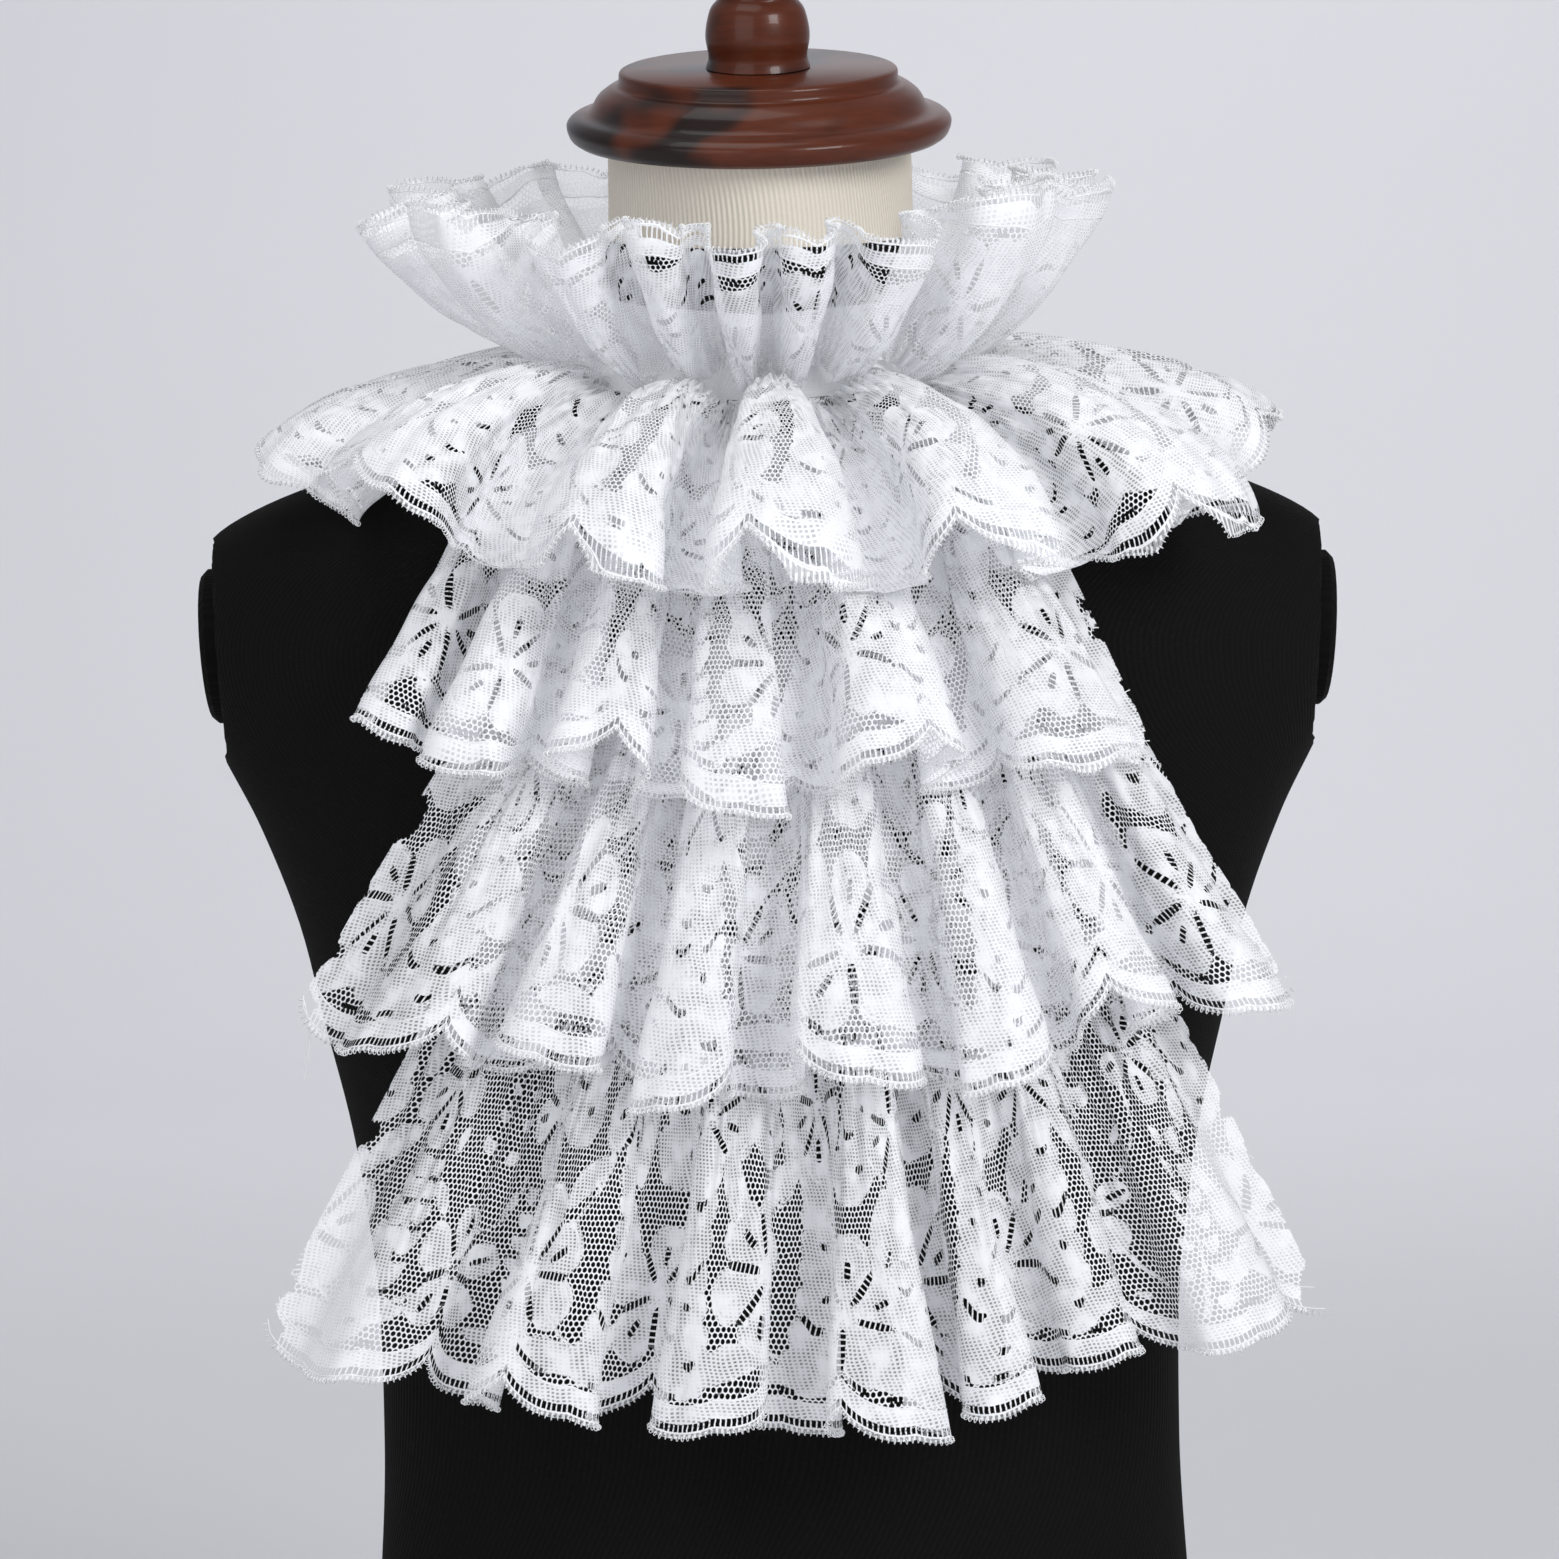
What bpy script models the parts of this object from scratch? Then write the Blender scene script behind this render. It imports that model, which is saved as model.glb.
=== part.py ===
"""A lace jabot collar, dressed on a limbless dress form with a turned wooden neck cap.

The collar is a neck band lapped at the back, a standing ruff and a cape ruffle gathered round it, and a
bib that hangs from it with three gathered tiers. Units are metres, +Z is up and the front faces -Y. The
origin is the middle of the form's flat base.
"""

import math

import bmesh
import bpy
import numpy as np

# Cloth
CLOTH = 0.0012
SEAM_GAP = 0.0004
STRIP = 0.140
SCALLOP_PITCH = 0.078
SCALLOP_DEPTH = 0.012
SCALLOP_ROUND = 0.6

# Dress form: one row for each horizontal section, from the base to the top of the neck
FORM_SECTIONS = [
    {"height": 0.000, "half_width": 0.152, "front": 0.112, "back": 0.112},
    {"height": 0.052, "half_width": 0.148, "front": 0.108, "back": 0.107},
    {"height": 0.104, "half_width": 0.1435, "front": 0.101, "back": 0.097},
    {"height": 0.150, "half_width": 0.1415, "front": 0.097, "back": 0.088},
    {"height": 0.195, "half_width": 0.142, "front": 0.099, "back": 0.085},
    {"height": 0.230, "half_width": 0.1455, "front": 0.105, "back": 0.088},
    {"height": 0.262, "half_width": 0.1505, "front": 0.113, "back": 0.093},
    {"height": 0.300, "half_width": 0.1595, "front": 0.122, "back": 0.101},
    {"height": 0.336, "half_width": 0.168, "front": 0.126, "back": 0.108},
    {"height": 0.370, "half_width": 0.181, "front": 0.122, "back": 0.114},
    {"height": 0.405, "half_width": 0.198, "front": 0.113, "back": 0.117},
    {"height": 0.440, "half_width": 0.206, "front": 0.101, "back": 0.114},
    {"height": 0.460, "half_width": 0.204, "front": 0.093, "back": 0.107},
    {"height": 0.474, "half_width": 0.194, "front": 0.087, "back": 0.099},
    {"height": 0.484, "half_width": 0.176, "front": 0.083, "back": 0.091},
    {"height": 0.494, "half_width": 0.149, "front": 0.079, "back": 0.082},
    {"height": 0.506, "half_width": 0.113, "front": 0.0745, "back": 0.071},
    {"height": 0.519, "half_width": 0.083, "front": 0.0710, "back": 0.060},
    {"height": 0.526, "half_width": 0.0715, "front": 0.0700, "back": 0.0550},
    {"height": 0.533, "half_width": 0.0640, "front": 0.0695, "back": 0.0505},
    {"height": 0.550, "half_width": 0.0575, "front": 0.0715, "back": 0.0430},
    {"height": 0.572, "half_width": 0.0550, "front": 0.0780, "back": 0.0340},
    {"height": 0.6075, "half_width": 0.0545, "front": 0.0885, "back": 0.0200},
]
FORM_SQUARENESS = 2.4
NECK_SQUARENESS = 2.0
NECK_FOOT, NECK_ROUND = 0.500, 0.550
TILT_FOOT = 0.540
FORM_RINGS, NECK_RINGS = 26, 4
COVER_TOP, COVER_STEP = 0.572, 0.0008
FORM_SIDES = 32
SHARP_EDGE = math.radians(45)
NECK_TILT = math.radians(13)
# The arm cuts lean in towards the waist; past each end of a cut the form swells out again
ARM_PLANE = {"height": 0.434, "out": 0.1925, "lean": 0.06, "half": 0.037, "swell": 0.9}
ARM_PLATE = {"depth": 0.076, "tall": 0.055, "thick": 0.006, "round": 0.002, "sides": 28}

# Turned wood on the neck: radius at each height above the neck's top, from the top down
CAP_PROFILE = [
    {"radius": 0.0470, "height": 0.0250},
    {"radius": 0.0485, "height": 0.0240},
    {"radius": 0.0490, "height": 0.0205},
    {"radius": 0.0520, "height": 0.0190},
    {"radius": 0.0560, "height": 0.0160},
    {"radius": 0.0585, "height": 0.0120},
    {"radius": 0.0605, "height": 0.0105},
    {"radius": 0.0650, "height": 0.0090},
    {"radius": 0.0672, "height": 0.0060},
    {"radius": 0.0660, "height": 0.0020},
    {"radius": 0.0635, "height": 0.0000},
]
FINIAL_PROFILE = [
    {"radius": 0.0060, "height": 0.0860},
    {"radius": 0.0130, "height": 0.0835},
    {"radius": 0.0180, "height": 0.0765},
    {"radius": 0.0190, "height": 0.0690},
    {"radius": 0.0165, "height": 0.0610},
    {"radius": 0.0110, "height": 0.0550},
    {"radius": 0.0098, "height": 0.0500},
    {"radius": 0.0125, "height": 0.0450},
    {"radius": 0.0152, "height": 0.0410},
    {"radius": 0.0152, "height": 0.0370},
    {"radius": 0.0132, "height": 0.0345},
    {"radius": 0.0152, "height": 0.0320},
    {"radius": 0.0152, "height": 0.0280},
    {"radius": 0.0130, "height": 0.0250},
    {"radius": 0.0165, "height": 0.0200},
    {"radius": 0.0182, "height": 0.0110},
    {"radius": 0.0172, "height": 0.0040},
    {"radius": 0.0182, "height": 0.0000},
]
TURNED_STEPS = 24

# The neck band's foot, and the free edges of the two ruffles round the neck: distance from the upright
# axis and height at each bearing from the front, with the right hand side positive
BAND_FOOT = [
    {"bearing": 0, "height": 0.515},
    {"bearing": 45, "height": 0.521},
    {"bearing": 90, "height": 0.532},
    {"bearing": 135, "height": 0.538},
    {"bearing": 180, "height": 0.540},
]
BAND_HEIGHT = 0.030
BAND_CLEAR = 0.0020
BAND_LAP = 0.024
BAND_COLUMNS, BAND_ROWS = 52, 3
RUFF_TOP = [
    {"bearing": -180, "reach": 0.102, "height": 0.604},
    {"bearing": -135, "reach": 0.110, "height": 0.606},
    {"bearing": -90, "reach": 0.121, "height": 0.593},
    {"bearing": -60, "reach": 0.134, "height": 0.583},
    {"bearing": -30, "reach": 0.130, "height": 0.576},
    {"bearing": 0, "reach": 0.128, "height": 0.572},
    {"bearing": 30, "reach": 0.124, "height": 0.577},
    {"bearing": 60, "reach": 0.116, "height": 0.590},
    {"bearing": 90, "reach": 0.105, "height": 0.594},
    {"bearing": 135, "reach": 0.104, "height": 0.606},
    {"bearing": 180, "reach": 0.102, "height": 0.604},
]
CAPE_HEM = [
    {"bearing": -180, "reach": 0.150, "height": 0.508},
    {"bearing": -135, "reach": 0.158, "height": 0.501},
    {"bearing": -90, "reach": 0.165, "height": 0.500},
    {"bearing": -70, "reach": 0.174, "height": 0.489},
    {"bearing": -45, "reach": 0.181, "height": 0.472},
    {"bearing": -20, "reach": 0.177, "height": 0.460},
    {"bearing": 0, "reach": 0.176, "height": 0.454},
    {"bearing": 25, "reach": 0.178, "height": 0.458},
    {"bearing": 45, "reach": 0.182, "height": 0.464},
    {"bearing": 70, "reach": 0.176, "height": 0.487},
    {"bearing": 90, "reach": 0.168, "height": 0.505},
    {"bearing": 135, "reach": 0.158, "height": 0.506},
    {"bearing": 180, "reach": 0.150, "height": 0.508},
]
RUFF_STRIP = 0.078
CAPE_STRIP = 0.122
# How a ruffle round the neck leaves it and falls: above 1, it leaves level and ends upright
RUFF_BEND = {"leave": 1.50, "fall": 1.05, "arch": 0.000}
CAPE_BEND = {"leave": 1.40, "fall": 1.40, "arch": 0.001}
BACK_SLIT = 2.5  # degrees from the middle of the back to each end of a ruffle

# Folds of the ruff: bearing of each crest, with its depth, spread, overhang, lean and extra length
RUFF_FOLDS = [
    {"bearing": -164, "depth": 0.010, "wide": 0.003, "over": 0.004, "lean": 0.000, "drop": 0.000},
    {"bearing": -141, "depth": 0.011, "wide": 0.003, "over": 0.004, "lean": 0.000, "drop": 0.003},
    {"bearing": -118, "depth": 0.011, "wide": 0.003, "over": 0.004, "lean": 0.000, "drop": -0.002},
    {"bearing": -96, "depth": 0.014, "wide": 0.003, "over": 0.004, "lean": -0.002, "drop": 0.004},
    {"bearing": -74, "depth": 0.018, "wide": 0.004, "over": 0.004, "lean": -0.002, "drop": -0.002},
    {"bearing": -49, "depth": 0.019, "wide": 0.005, "over": 0.005, "lean": 0.002, "drop": 0.006},
    {"bearing": -29, "depth": 0.016, "wide": 0.004, "over": 0.004, "lean": -0.002, "drop": -0.003},
    {"bearing": -16, "depth": 0.013, "wide": 0.002, "over": 0.003, "lean": 0.001, "drop": 0.003},
    {"bearing": -4, "depth": 0.014, "wide": 0.003, "over": 0.003, "lean": 0.001, "drop": -0.004},
    {"bearing": 7, "depth": 0.013, "wide": 0.003, "over": 0.003, "lean": -0.001, "drop": 0.001},
    {"bearing": 20, "depth": 0.016, "wide": 0.004, "over": 0.004, "lean": 0.002, "drop": -0.003},
    {"bearing": 40, "depth": 0.019, "wide": 0.006, "over": 0.005, "lean": 0.003, "drop": 0.007},
    {"bearing": 65, "depth": 0.018, "wide": 0.004, "over": 0.005, "lean": 0.002, "drop": 0.000},
    {"bearing": 90, "depth": 0.013, "wide": 0.003, "over": 0.004, "lean": 0.001, "drop": 0.004},
    {"bearing": 114, "depth": 0.011, "wide": 0.003, "over": 0.004, "lean": 0.000, "drop": 0.003},
    {"bearing": 139, "depth": 0.011, "wide": 0.003, "over": 0.004, "lean": 0.000, "drop": -0.002},
    {"bearing": 164, "depth": 0.010, "wide": 0.003, "over": 0.004, "lean": 0.000, "drop": 0.000},
]
CAPE_FOLDS = [
    {"bearing": -160, "depth": 0.016, "wide": 0.002, "over": 0.005, "lean": 0.000, "drop": 0.000},
    {"bearing": -134, "depth": 0.017, "wide": 0.002, "over": 0.006, "lean": 0.000, "drop": 0.004},
    {"bearing": -108, "depth": 0.013, "wide": 0.003, "over": 0.006, "lean": -0.002, "drop": 0.000},
    {"bearing": -79, "depth": 0.013, "wide": 0.006, "over": 0.008, "lean": -0.004, "drop": 0.000},
    {"bearing": -46, "depth": 0.024, "wide": 0.008, "over": 0.010, "lean": 0.006, "drop": -0.006},
    {"bearing": -18, "depth": 0.019, "wide": 0.003, "over": 0.009, "lean": 0.004, "drop": 0.006},
    {"bearing": 2, "depth": 0.028, "wide": 0.004, "over": 0.013, "lean": -0.003, "drop": 0.004},
    {"bearing": 24, "depth": 0.021, "wide": 0.004, "over": 0.010, "lean": 0.003, "drop": 0.002},
    {"bearing": 48, "depth": 0.024, "wide": 0.007, "over": 0.010, "lean": 0.006, "drop": 0.004},
    {"bearing": 79, "depth": 0.016, "wide": 0.004, "over": 0.005, "lean": 0.002, "drop": 0.000},
    {"bearing": 108, "depth": 0.014, "wide": 0.002, "over": 0.004, "lean": 0.001, "drop": 0.003},
    {"bearing": 134, "depth": 0.017, "wide": 0.002, "over": 0.006, "lean": 0.000, "drop": 0.000},
    {"bearing": 160, "depth": 0.016, "wide": 0.002, "over": 0.005, "lean": 0.000, "drop": 0.000},
]

# Bib tiers: the gathered head on the bib, and the hem's middle line with its sweep back and rise at the
# sides
TIERS = {
    "tier_upper": {
        "head": 0.503, "head_left": 0.086, "head_right": 0.080, "hem": 0.383, "hem_left": 0.145,
        "hem_right": 0.136, "out": 0.171, "sweep": 0.046, "rise_left": 0.026, "rise_right": 0.006,
        "leave": 1.4,
    },
    "tier_middle": {
        "head": 0.432, "head_left": 0.086, "head_right": 0.106, "hem": 0.283, "hem_left": 0.172,
        "hem_right": 0.184, "out": 0.162, "sweep": 0.056, "rise_left": 0.020, "rise_right": 0.024,
        "leave": 1.8,
    },
    "tier_lower": {
        "head": 0.322, "head_left": 0.110, "head_right": 0.128, "hem": 0.171, "hem_left": 0.186,
        "hem_right": 0.195, "out": 0.146, "sweep": 0.044, "rise_left": 0.019, "rise_right": 0.023,
        "leave": 1.8,
    },
}
# Folds of each bib tier: how far right of the middle each crest's hem lies, and as above
TIER_FOLDS = {
    "tier_upper": [
        {"right": -0.128, "depth": 0.010, "wide": 0.001, "over": 0.005, "lean": -0.003, "drop": 0.000},
        {"right": -0.098, "depth": 0.015, "wide": 0.002, "over": 0.007, "lean": -0.004, "drop": 0.006},
        {"right": -0.056, "depth": 0.016, "wide": 0.003, "over": 0.009, "lean": -0.002, "drop": -0.004},
        {"right": -0.014, "depth": 0.015, "wide": 0.002, "over": 0.008, "lean": 0.003, "drop": 0.008},
        {"right": 0.040, "depth": 0.018, "wide": 0.005, "over": 0.011, "lean": 0.004, "drop": -0.004},
        {"right": 0.100, "depth": 0.016, "wide": 0.004, "over": 0.009, "lean": 0.003, "drop": 0.000},
    ],
    "tier_middle": [
        {"right": -0.120, "depth": 0.015, "wide": 0.003, "over": 0.007, "lean": -0.002, "drop": 0.000},
        {"right": -0.074, "depth": 0.018, "wide": 0.004, "over": 0.010, "lean": -0.003, "drop": -0.006},
        {"right": -0.032, "depth": 0.014, "wide": 0.001, "over": 0.007, "lean": 0.002, "drop": 0.006},
        {"right": 0.026, "depth": 0.018, "wide": 0.006, "over": 0.011, "lean": 0.000, "drop": -0.002},
        {"right": 0.076, "depth": 0.013, "wide": 0.001, "over": 0.007, "lean": 0.003, "drop": 0.004},
        {"right": 0.118, "depth": 0.016, "wide": 0.004, "over": 0.009, "lean": 0.005, "drop": -0.010},
        {"right": 0.160, "depth": 0.013, "wide": 0.002, "over": 0.004, "lean": 0.003, "drop": -0.002},
    ],
    "tier_lower": [
        {"right": -0.142, "depth": 0.013, "wide": 0.003, "over": 0.004, "lean": -0.002, "drop": -0.002},
        {"right": -0.082, "depth": 0.018, "wide": 0.005, "over": 0.010, "lean": -0.003, "drop": 0.000},
        {"right": -0.024, "depth": 0.015, "wide": 0.003, "over": 0.008, "lean": 0.002, "drop": 0.002},
        {"right": 0.036, "depth": 0.018, "wide": 0.004, "over": 0.010, "lean": -0.002, "drop": 0.006},
        {"right": 0.072, "depth": 0.013, "wide": 0.001, "over": 0.006, "lean": 0.003, "drop": 0.000},
        {"right": 0.110, "depth": 0.011, "wide": 0.003, "over": 0.004, "lean": 0.002, "drop": -0.010},
        {"right": 0.158, "depth": 0.013, "wide": 0.003, "over": 0.004, "lean": 0.002, "drop": -0.006},
    ],
}
TIER_HEAD_SWING = 0.0010
RING_SWING = 0.0012
RUFF_UP, CAPE_UP = 0.0085, 0.0010
RUFF_PITCH, RUFF_NOTCH = 0.044, 0.004
END_DEPTH = 0.003
FOLD_GROWTH, OVER_GROWTH = 0.5, 1.0
RUFF_SWING, RUFF_GROWTH = 0.0026, 0.30
# Rows down each ruffle and columns in each of its folds
GRIDS = {"ruff": (4, 8), "cape": (5, 10), "tier": (5, 12)}
TIER_REST, TIER_BLEND = 0.020, 0.006
# The bib, an upright panel: its half widths to the left and right at the top and at the foot
BIB = {"top": 0.5135, "foot": 0.308, "left": (0.084, 0.114), "right": (0.081, 0.132), "clear": 0.0022}
BIB_TOP_DIP = 0.0095
BIB_COLUMNS, BIB_ROWS = 14, 12

LACE_WHITE = {"colour": (0.88, 0.89, 0.91), "roughness": 0.65, "metallic": 0.0}
NECK_LINEN = {"colour": (0.79, 0.73, 0.62), "roughness": 0.85, "metallic": 0.0}
COVER_BLACK = {"colour": (0.012, 0.012, 0.014), "roughness": 0.85, "metallic": 0.0}
TURNED_WOOD = {"colour": (0.16, 0.045, 0.018), "roughness": 0.22, "metallic": 0.0}


def clear_scene():
    for thing in list(bpy.data.objects):
        bpy.data.objects.remove(thing, do_unlink=True)


def new_material(name, finish):
    material = bpy.data.materials.new(name)
    material.use_nodes = True
    shader = material.node_tree.nodes["Principled BSDF"]
    shader.inputs["Base Color"].default_value = (*finish["colour"], 1.0)
    shader.inputs["Roughness"].default_value = finish["roughness"]
    shader.inputs["Metallic"].default_value = finish["metallic"]
    return material


def column(table, name):
    return np.array([row[name] for row in table], float)


def smooth_curve(stations, values, at):
    """A curve through the values that never overshoots them."""
    step = np.diff(stations)
    slope = np.diff(values) / step
    tangent = np.concatenate([slope[:1], (slope[1:] + slope[:-1]) / 2, slope[-1:]])
    turning = slope[1:] * slope[:-1] <= 0
    tangent[1:-1][turning] = 0
    steepest = 3 * np.minimum(np.abs(slope[1:]), np.abs(slope[:-1]))
    tangent[1:-1] = np.clip(tangent[1:-1], -steepest, steepest)
    at = np.clip(at, stations[0], stations[-1])
    i = np.clip(np.searchsorted(stations, at, side="right") - 1, 0, len(step) - 1)
    t = (at - stations[i]) / step[i]
    return (
        values[i] * (1 + 2 * t) * (1 - t) ** 2
        + tangent[i] * step[i] * t * (1 - t) ** 2
        + values[i + 1] * t**2 * (3 - 2 * t)
        + tangent[i + 1] * step[i] * t**2 * (t - 1)
    )


def form_section(height):
    """Half width, front, back and squareness of the dress form at a height."""
    heights = column(FORM_SECTIONS, "height")
    names = ("half_width", "front", "back")
    sizes = [smooth_curve(heights, column(FORM_SECTIONS, name), height) for name in names]
    neckness = np.clip((height - NECK_FOOT) / (NECK_ROUND - NECK_FOOT), 0, 1)
    return (*sizes, FORM_SQUARENESS + (NECK_SQUARENESS - FORM_SQUARENESS) * neckness)


def chest(across, height):
    """How far the form's front stands out, at a place across it and a height."""
    half_width, front, _, squareness = form_section(height)
    share = np.clip(np.abs(across) / half_width, 0, 0.999)
    return front * (1 - share**squareness) ** (1 / squareness)


def on_chest(across, height, off):
    """A point over the front of the form, off its surface along the surface's own normal."""
    across, height = np.broadcast_arrays(across, height)
    small = 1e-4
    slope_across = (chest(across + small, height) - chest(across - small, height)) / (2 * small)
    slope_up = (chest(across, height + small) - chest(across, height - small)) / (2 * small)
    normal = np.stack([-slope_across, -np.ones_like(slope_up), -slope_up], axis=-1)
    normal /= np.linalg.norm(normal, axis=-1, keepdims=True)
    return np.stack([across, -chest(across, height), height], axis=-1) + normal * off


def neck_rise(height, depth):
    """How far the neck's tilt lifts a point of the section that belongs to a height."""
    neckness = np.clip((height - TILT_FOOT) / (FORM_SECTIONS[-1]["height"] - TILT_FOOT), 0, 1)
    return math.tan(NECK_TILT) * (depth - neck_middle()) * neckness


def form_reach(bearing, height):
    """How far the form's surface lies from the upright axis at a bearing and a height."""
    turn = np.radians(bearing)
    level = height + 0 * turn
    for _ in range(5):
        half_width, front, back, squareness = form_section(level)
        deep = np.where(np.cos(turn) > 0, front, back)
        aside, along = np.abs(np.sin(turn)) / half_width, np.abs(np.cos(turn)) / deep
        reach = (aside**squareness + along**squareness) ** (-1 / squareness)
        level = height - neck_rise(level, -reach * np.cos(turn))
    return reach


def at_bearing(bearing, reach, height):
    turn = np.radians(bearing)
    return np.stack(np.broadcast_arrays(reach * np.sin(turn), -reach * np.cos(turn), height), axis=-1)


def ring_at(table, bearing):
    stations = column(table, "bearing")
    reach = smooth_curve(stations, column(table, "reach"), bearing)
    return at_bearing(bearing, reach, smooth_curve(stations, column(table, "height"), bearing))


def band_at(bearing, up, off=0.0):
    """A point of the neck band: how far up from its foot, and how far off its own middle surface."""
    foot = smooth_curve(column(BAND_FOOT, "bearing"), column(BAND_FOOT, "height"), np.abs(bearing))
    height = foot + up
    reach = form_reach(bearing, height) + BAND_CLEAR + CLOTH / 2 + off
    return at_bearing(bearing, reach, height)


def add_object(name, mesh, material, collection):
    thing = bpy.data.objects.new(name, mesh)
    thing.data.materials.append(material)
    collection.objects.link(thing)
    return thing


def grid_mesh(name, points):
    """A sheet of quads over a grid of points, rows by columns."""
    rows, columns = points.shape[:2]
    number = np.arange(rows * columns).reshape(rows, columns)
    quads = np.stack([number[:-1, :-1], number[:-1, 1:], number[1:, 1:], number[1:, :-1]], axis=-1)
    mesh = bpy.data.meshes.new(name)
    mesh.from_pydata(points.reshape(-1, 3).tolist(), [], quads.reshape(-1, 4).tolist())
    return mesh


def add_wall(name, points, thickness, material, collection):
    """A sheet of cloth with its thickness shared to both sides of the points."""
    mesh = grid_mesh(name, points)
    mesh.shade_smooth()
    sheet = add_object(name, mesh, material, collection)
    wall = sheet.modifiers.new("wall", "SOLIDIFY")
    wall.thickness = thickness
    wall.offset = 0
    wall.use_even_offset = True
    return sheet


def form_rings(heights, shrink=0.0):
    """Rings of the dress form at the heights given, each drawn in by shrink."""
    height = np.asarray(heights)[:, None]
    half_width, front, back, squareness = form_section(height)
    turn = np.linspace(0, 2 * math.pi, FORM_SIDES, endpoint=False)[None, :]
    power = 2 / squareness
    across = (half_width - shrink) * np.sign(np.cos(turn)) * np.abs(np.cos(turn)) ** power
    deep = np.where(np.sin(turn) < 0, front, back) - shrink
    depth = deep * np.sign(np.sin(turn)) * np.abs(np.sin(turn)) ** power
    past = np.maximum(np.abs(height - ARM_PLANE["height"]) - ARM_PLANE["half"], 0)
    cut = ARM_PLANE["out"] + (height - ARM_PLANE["height"]) * ARM_PLANE["lean"] + past * ARM_PLANE["swell"]
    across = np.clip(across, -cut, cut)
    return np.stack([across, depth, height + neck_rise(height, depth)], axis=-1)


def neck_middle():
    top = FORM_SECTIONS[-1]
    return (top["back"] - top["front"]) / 2


def add_lofted(name, rings, material, collection):
    """A closed solid through rings of points, listed from the lowest up."""
    build = bmesh.new()
    loops = [[build.verts.new(point) for point in ring] for ring in rings]
    for lower, upper in zip(loops, loops[1:]):
        for i in range(FORM_SIDES):
            j = (i + 1) % FORM_SIDES
            build.faces.new((lower[i], lower[j], upper[j], upper[i]))
    build.faces.new(list(reversed(loops[0])))
    build.faces.new(loops[-1])
    mesh = bpy.data.meshes.new(name)
    build.to_mesh(mesh)
    build.free()
    mesh.shade_smooth()
    mesh.set_sharp_from_angle(angle=SHARP_EDGE)
    return add_object(name, mesh, material, collection)


def add_form(cover, linen, collection):
    """The covered torso up to the cover's top edge, and the bare neck above it."""
    listed = column(FORM_SECTIONS, "height")
    covered = listed[listed <= COVER_TOP]
    ranks = np.linspace(0, len(covered) - 1, FORM_RINGS)
    heights = np.interp(ranks, np.arange(len(covered)), covered)
    add_lofted("form_torso", form_rings(heights), cover, collection)
    bare = np.linspace(COVER_TOP + SEAM_GAP, listed[-1], NECK_RINGS)
    add_lofted("form_neck", form_rings(bare, COVER_STEP), linen, collection)


def add_arm_plate(name, side, material, collection):
    """The oval plate that closes one armhole of the form."""
    build = bmesh.new()
    sides = ARM_PLATE["sides"]
    bmesh.ops.create_cone(build, cap_ends=True, segments=sides, radius1=0.5, radius2=0.5, depth=1)
    for vertex in build.verts:
        x, y, z = vertex.co
        vertex.co = (side * z * ARM_PLATE["thick"], side * x * ARM_PLATE["depth"], y * ARM_PLATE["tall"])
    build.normal_update()
    rim = [edge for edge in build.edges if len({round(v.co.x * side, 5) for v in edge.verts}) == 1]
    outer = [edge for edge in rim if edge.verts[0].co.x * side > 0]
    bmesh.ops.bevel(build, geom=outer, offset=ARM_PLATE["round"], segments=1, affect="EDGES")
    bmesh.ops.recalc_face_normals(build, faces=build.faces)
    mesh = bpy.data.meshes.new(name)
    build.to_mesh(mesh)
    build.free()
    mesh.shade_smooth()
    mesh.set_sharp_from_angle(angle=SHARP_EDGE)
    plate = add_object(name, mesh, material, collection)
    stand_off = SEAM_GAP + ARM_PLATE["thick"] / 2
    lean = math.atan(ARM_PLANE["lean"])
    out = ARM_PLANE["out"] + stand_off * math.cos(lean)
    plate.location = (side * out, 0, ARM_PLANE["height"] - stand_off * math.sin(lean))
    plate.rotation_euler = (0, side * lean, 0)
    return plate


def add_turned(name, profile, lift, parent, material, collection):
    """A turned solid: a profile at +X, closed to the axis at both ends, spun about Z."""
    points = [(0, 0, profile[0]["height"])]
    points += [(row["radius"], 0, row["height"]) for row in profile]
    points.append((0, 0, profile[-1]["height"]))
    mesh = bpy.data.meshes.new(name)
    mesh.from_pydata(points, [(i, i + 1) for i in range(len(points) - 1)], [])
    turned = add_object(name, mesh, material, collection)
    turned.location = (0, 0, lift)
    turned.parent = parent
    spin = turned.modifiers.new("spin", "SCREW")
    spin.steps = TURNED_STEPS
    spin.render_steps = TURNED_STEPS
    spin.use_merge_vertices = True
    spin.merge_threshold = 0.0001
    return turned


def add_neck_wood(material, collection):
    """The cap and the finial, square to the tilted top of the neck."""
    neck_top = bpy.data.objects.new("neck_top", None)
    collection.objects.link(neck_top)
    neck_top.location = (0, neck_middle(), FORM_SECTIONS[-1]["height"])
    neck_top.rotation_euler = (NECK_TILT, 0, 0)
    cap_top = SEAM_GAP + CAP_PROFILE[0]["height"]
    add_turned("neck_cap", CAP_PROFILE, SEAM_GAP, neck_top, material, collection)
    add_turned("finial", FINIAL_PROFILE, cap_top + SEAM_GAP, neck_top, material, collection)


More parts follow.
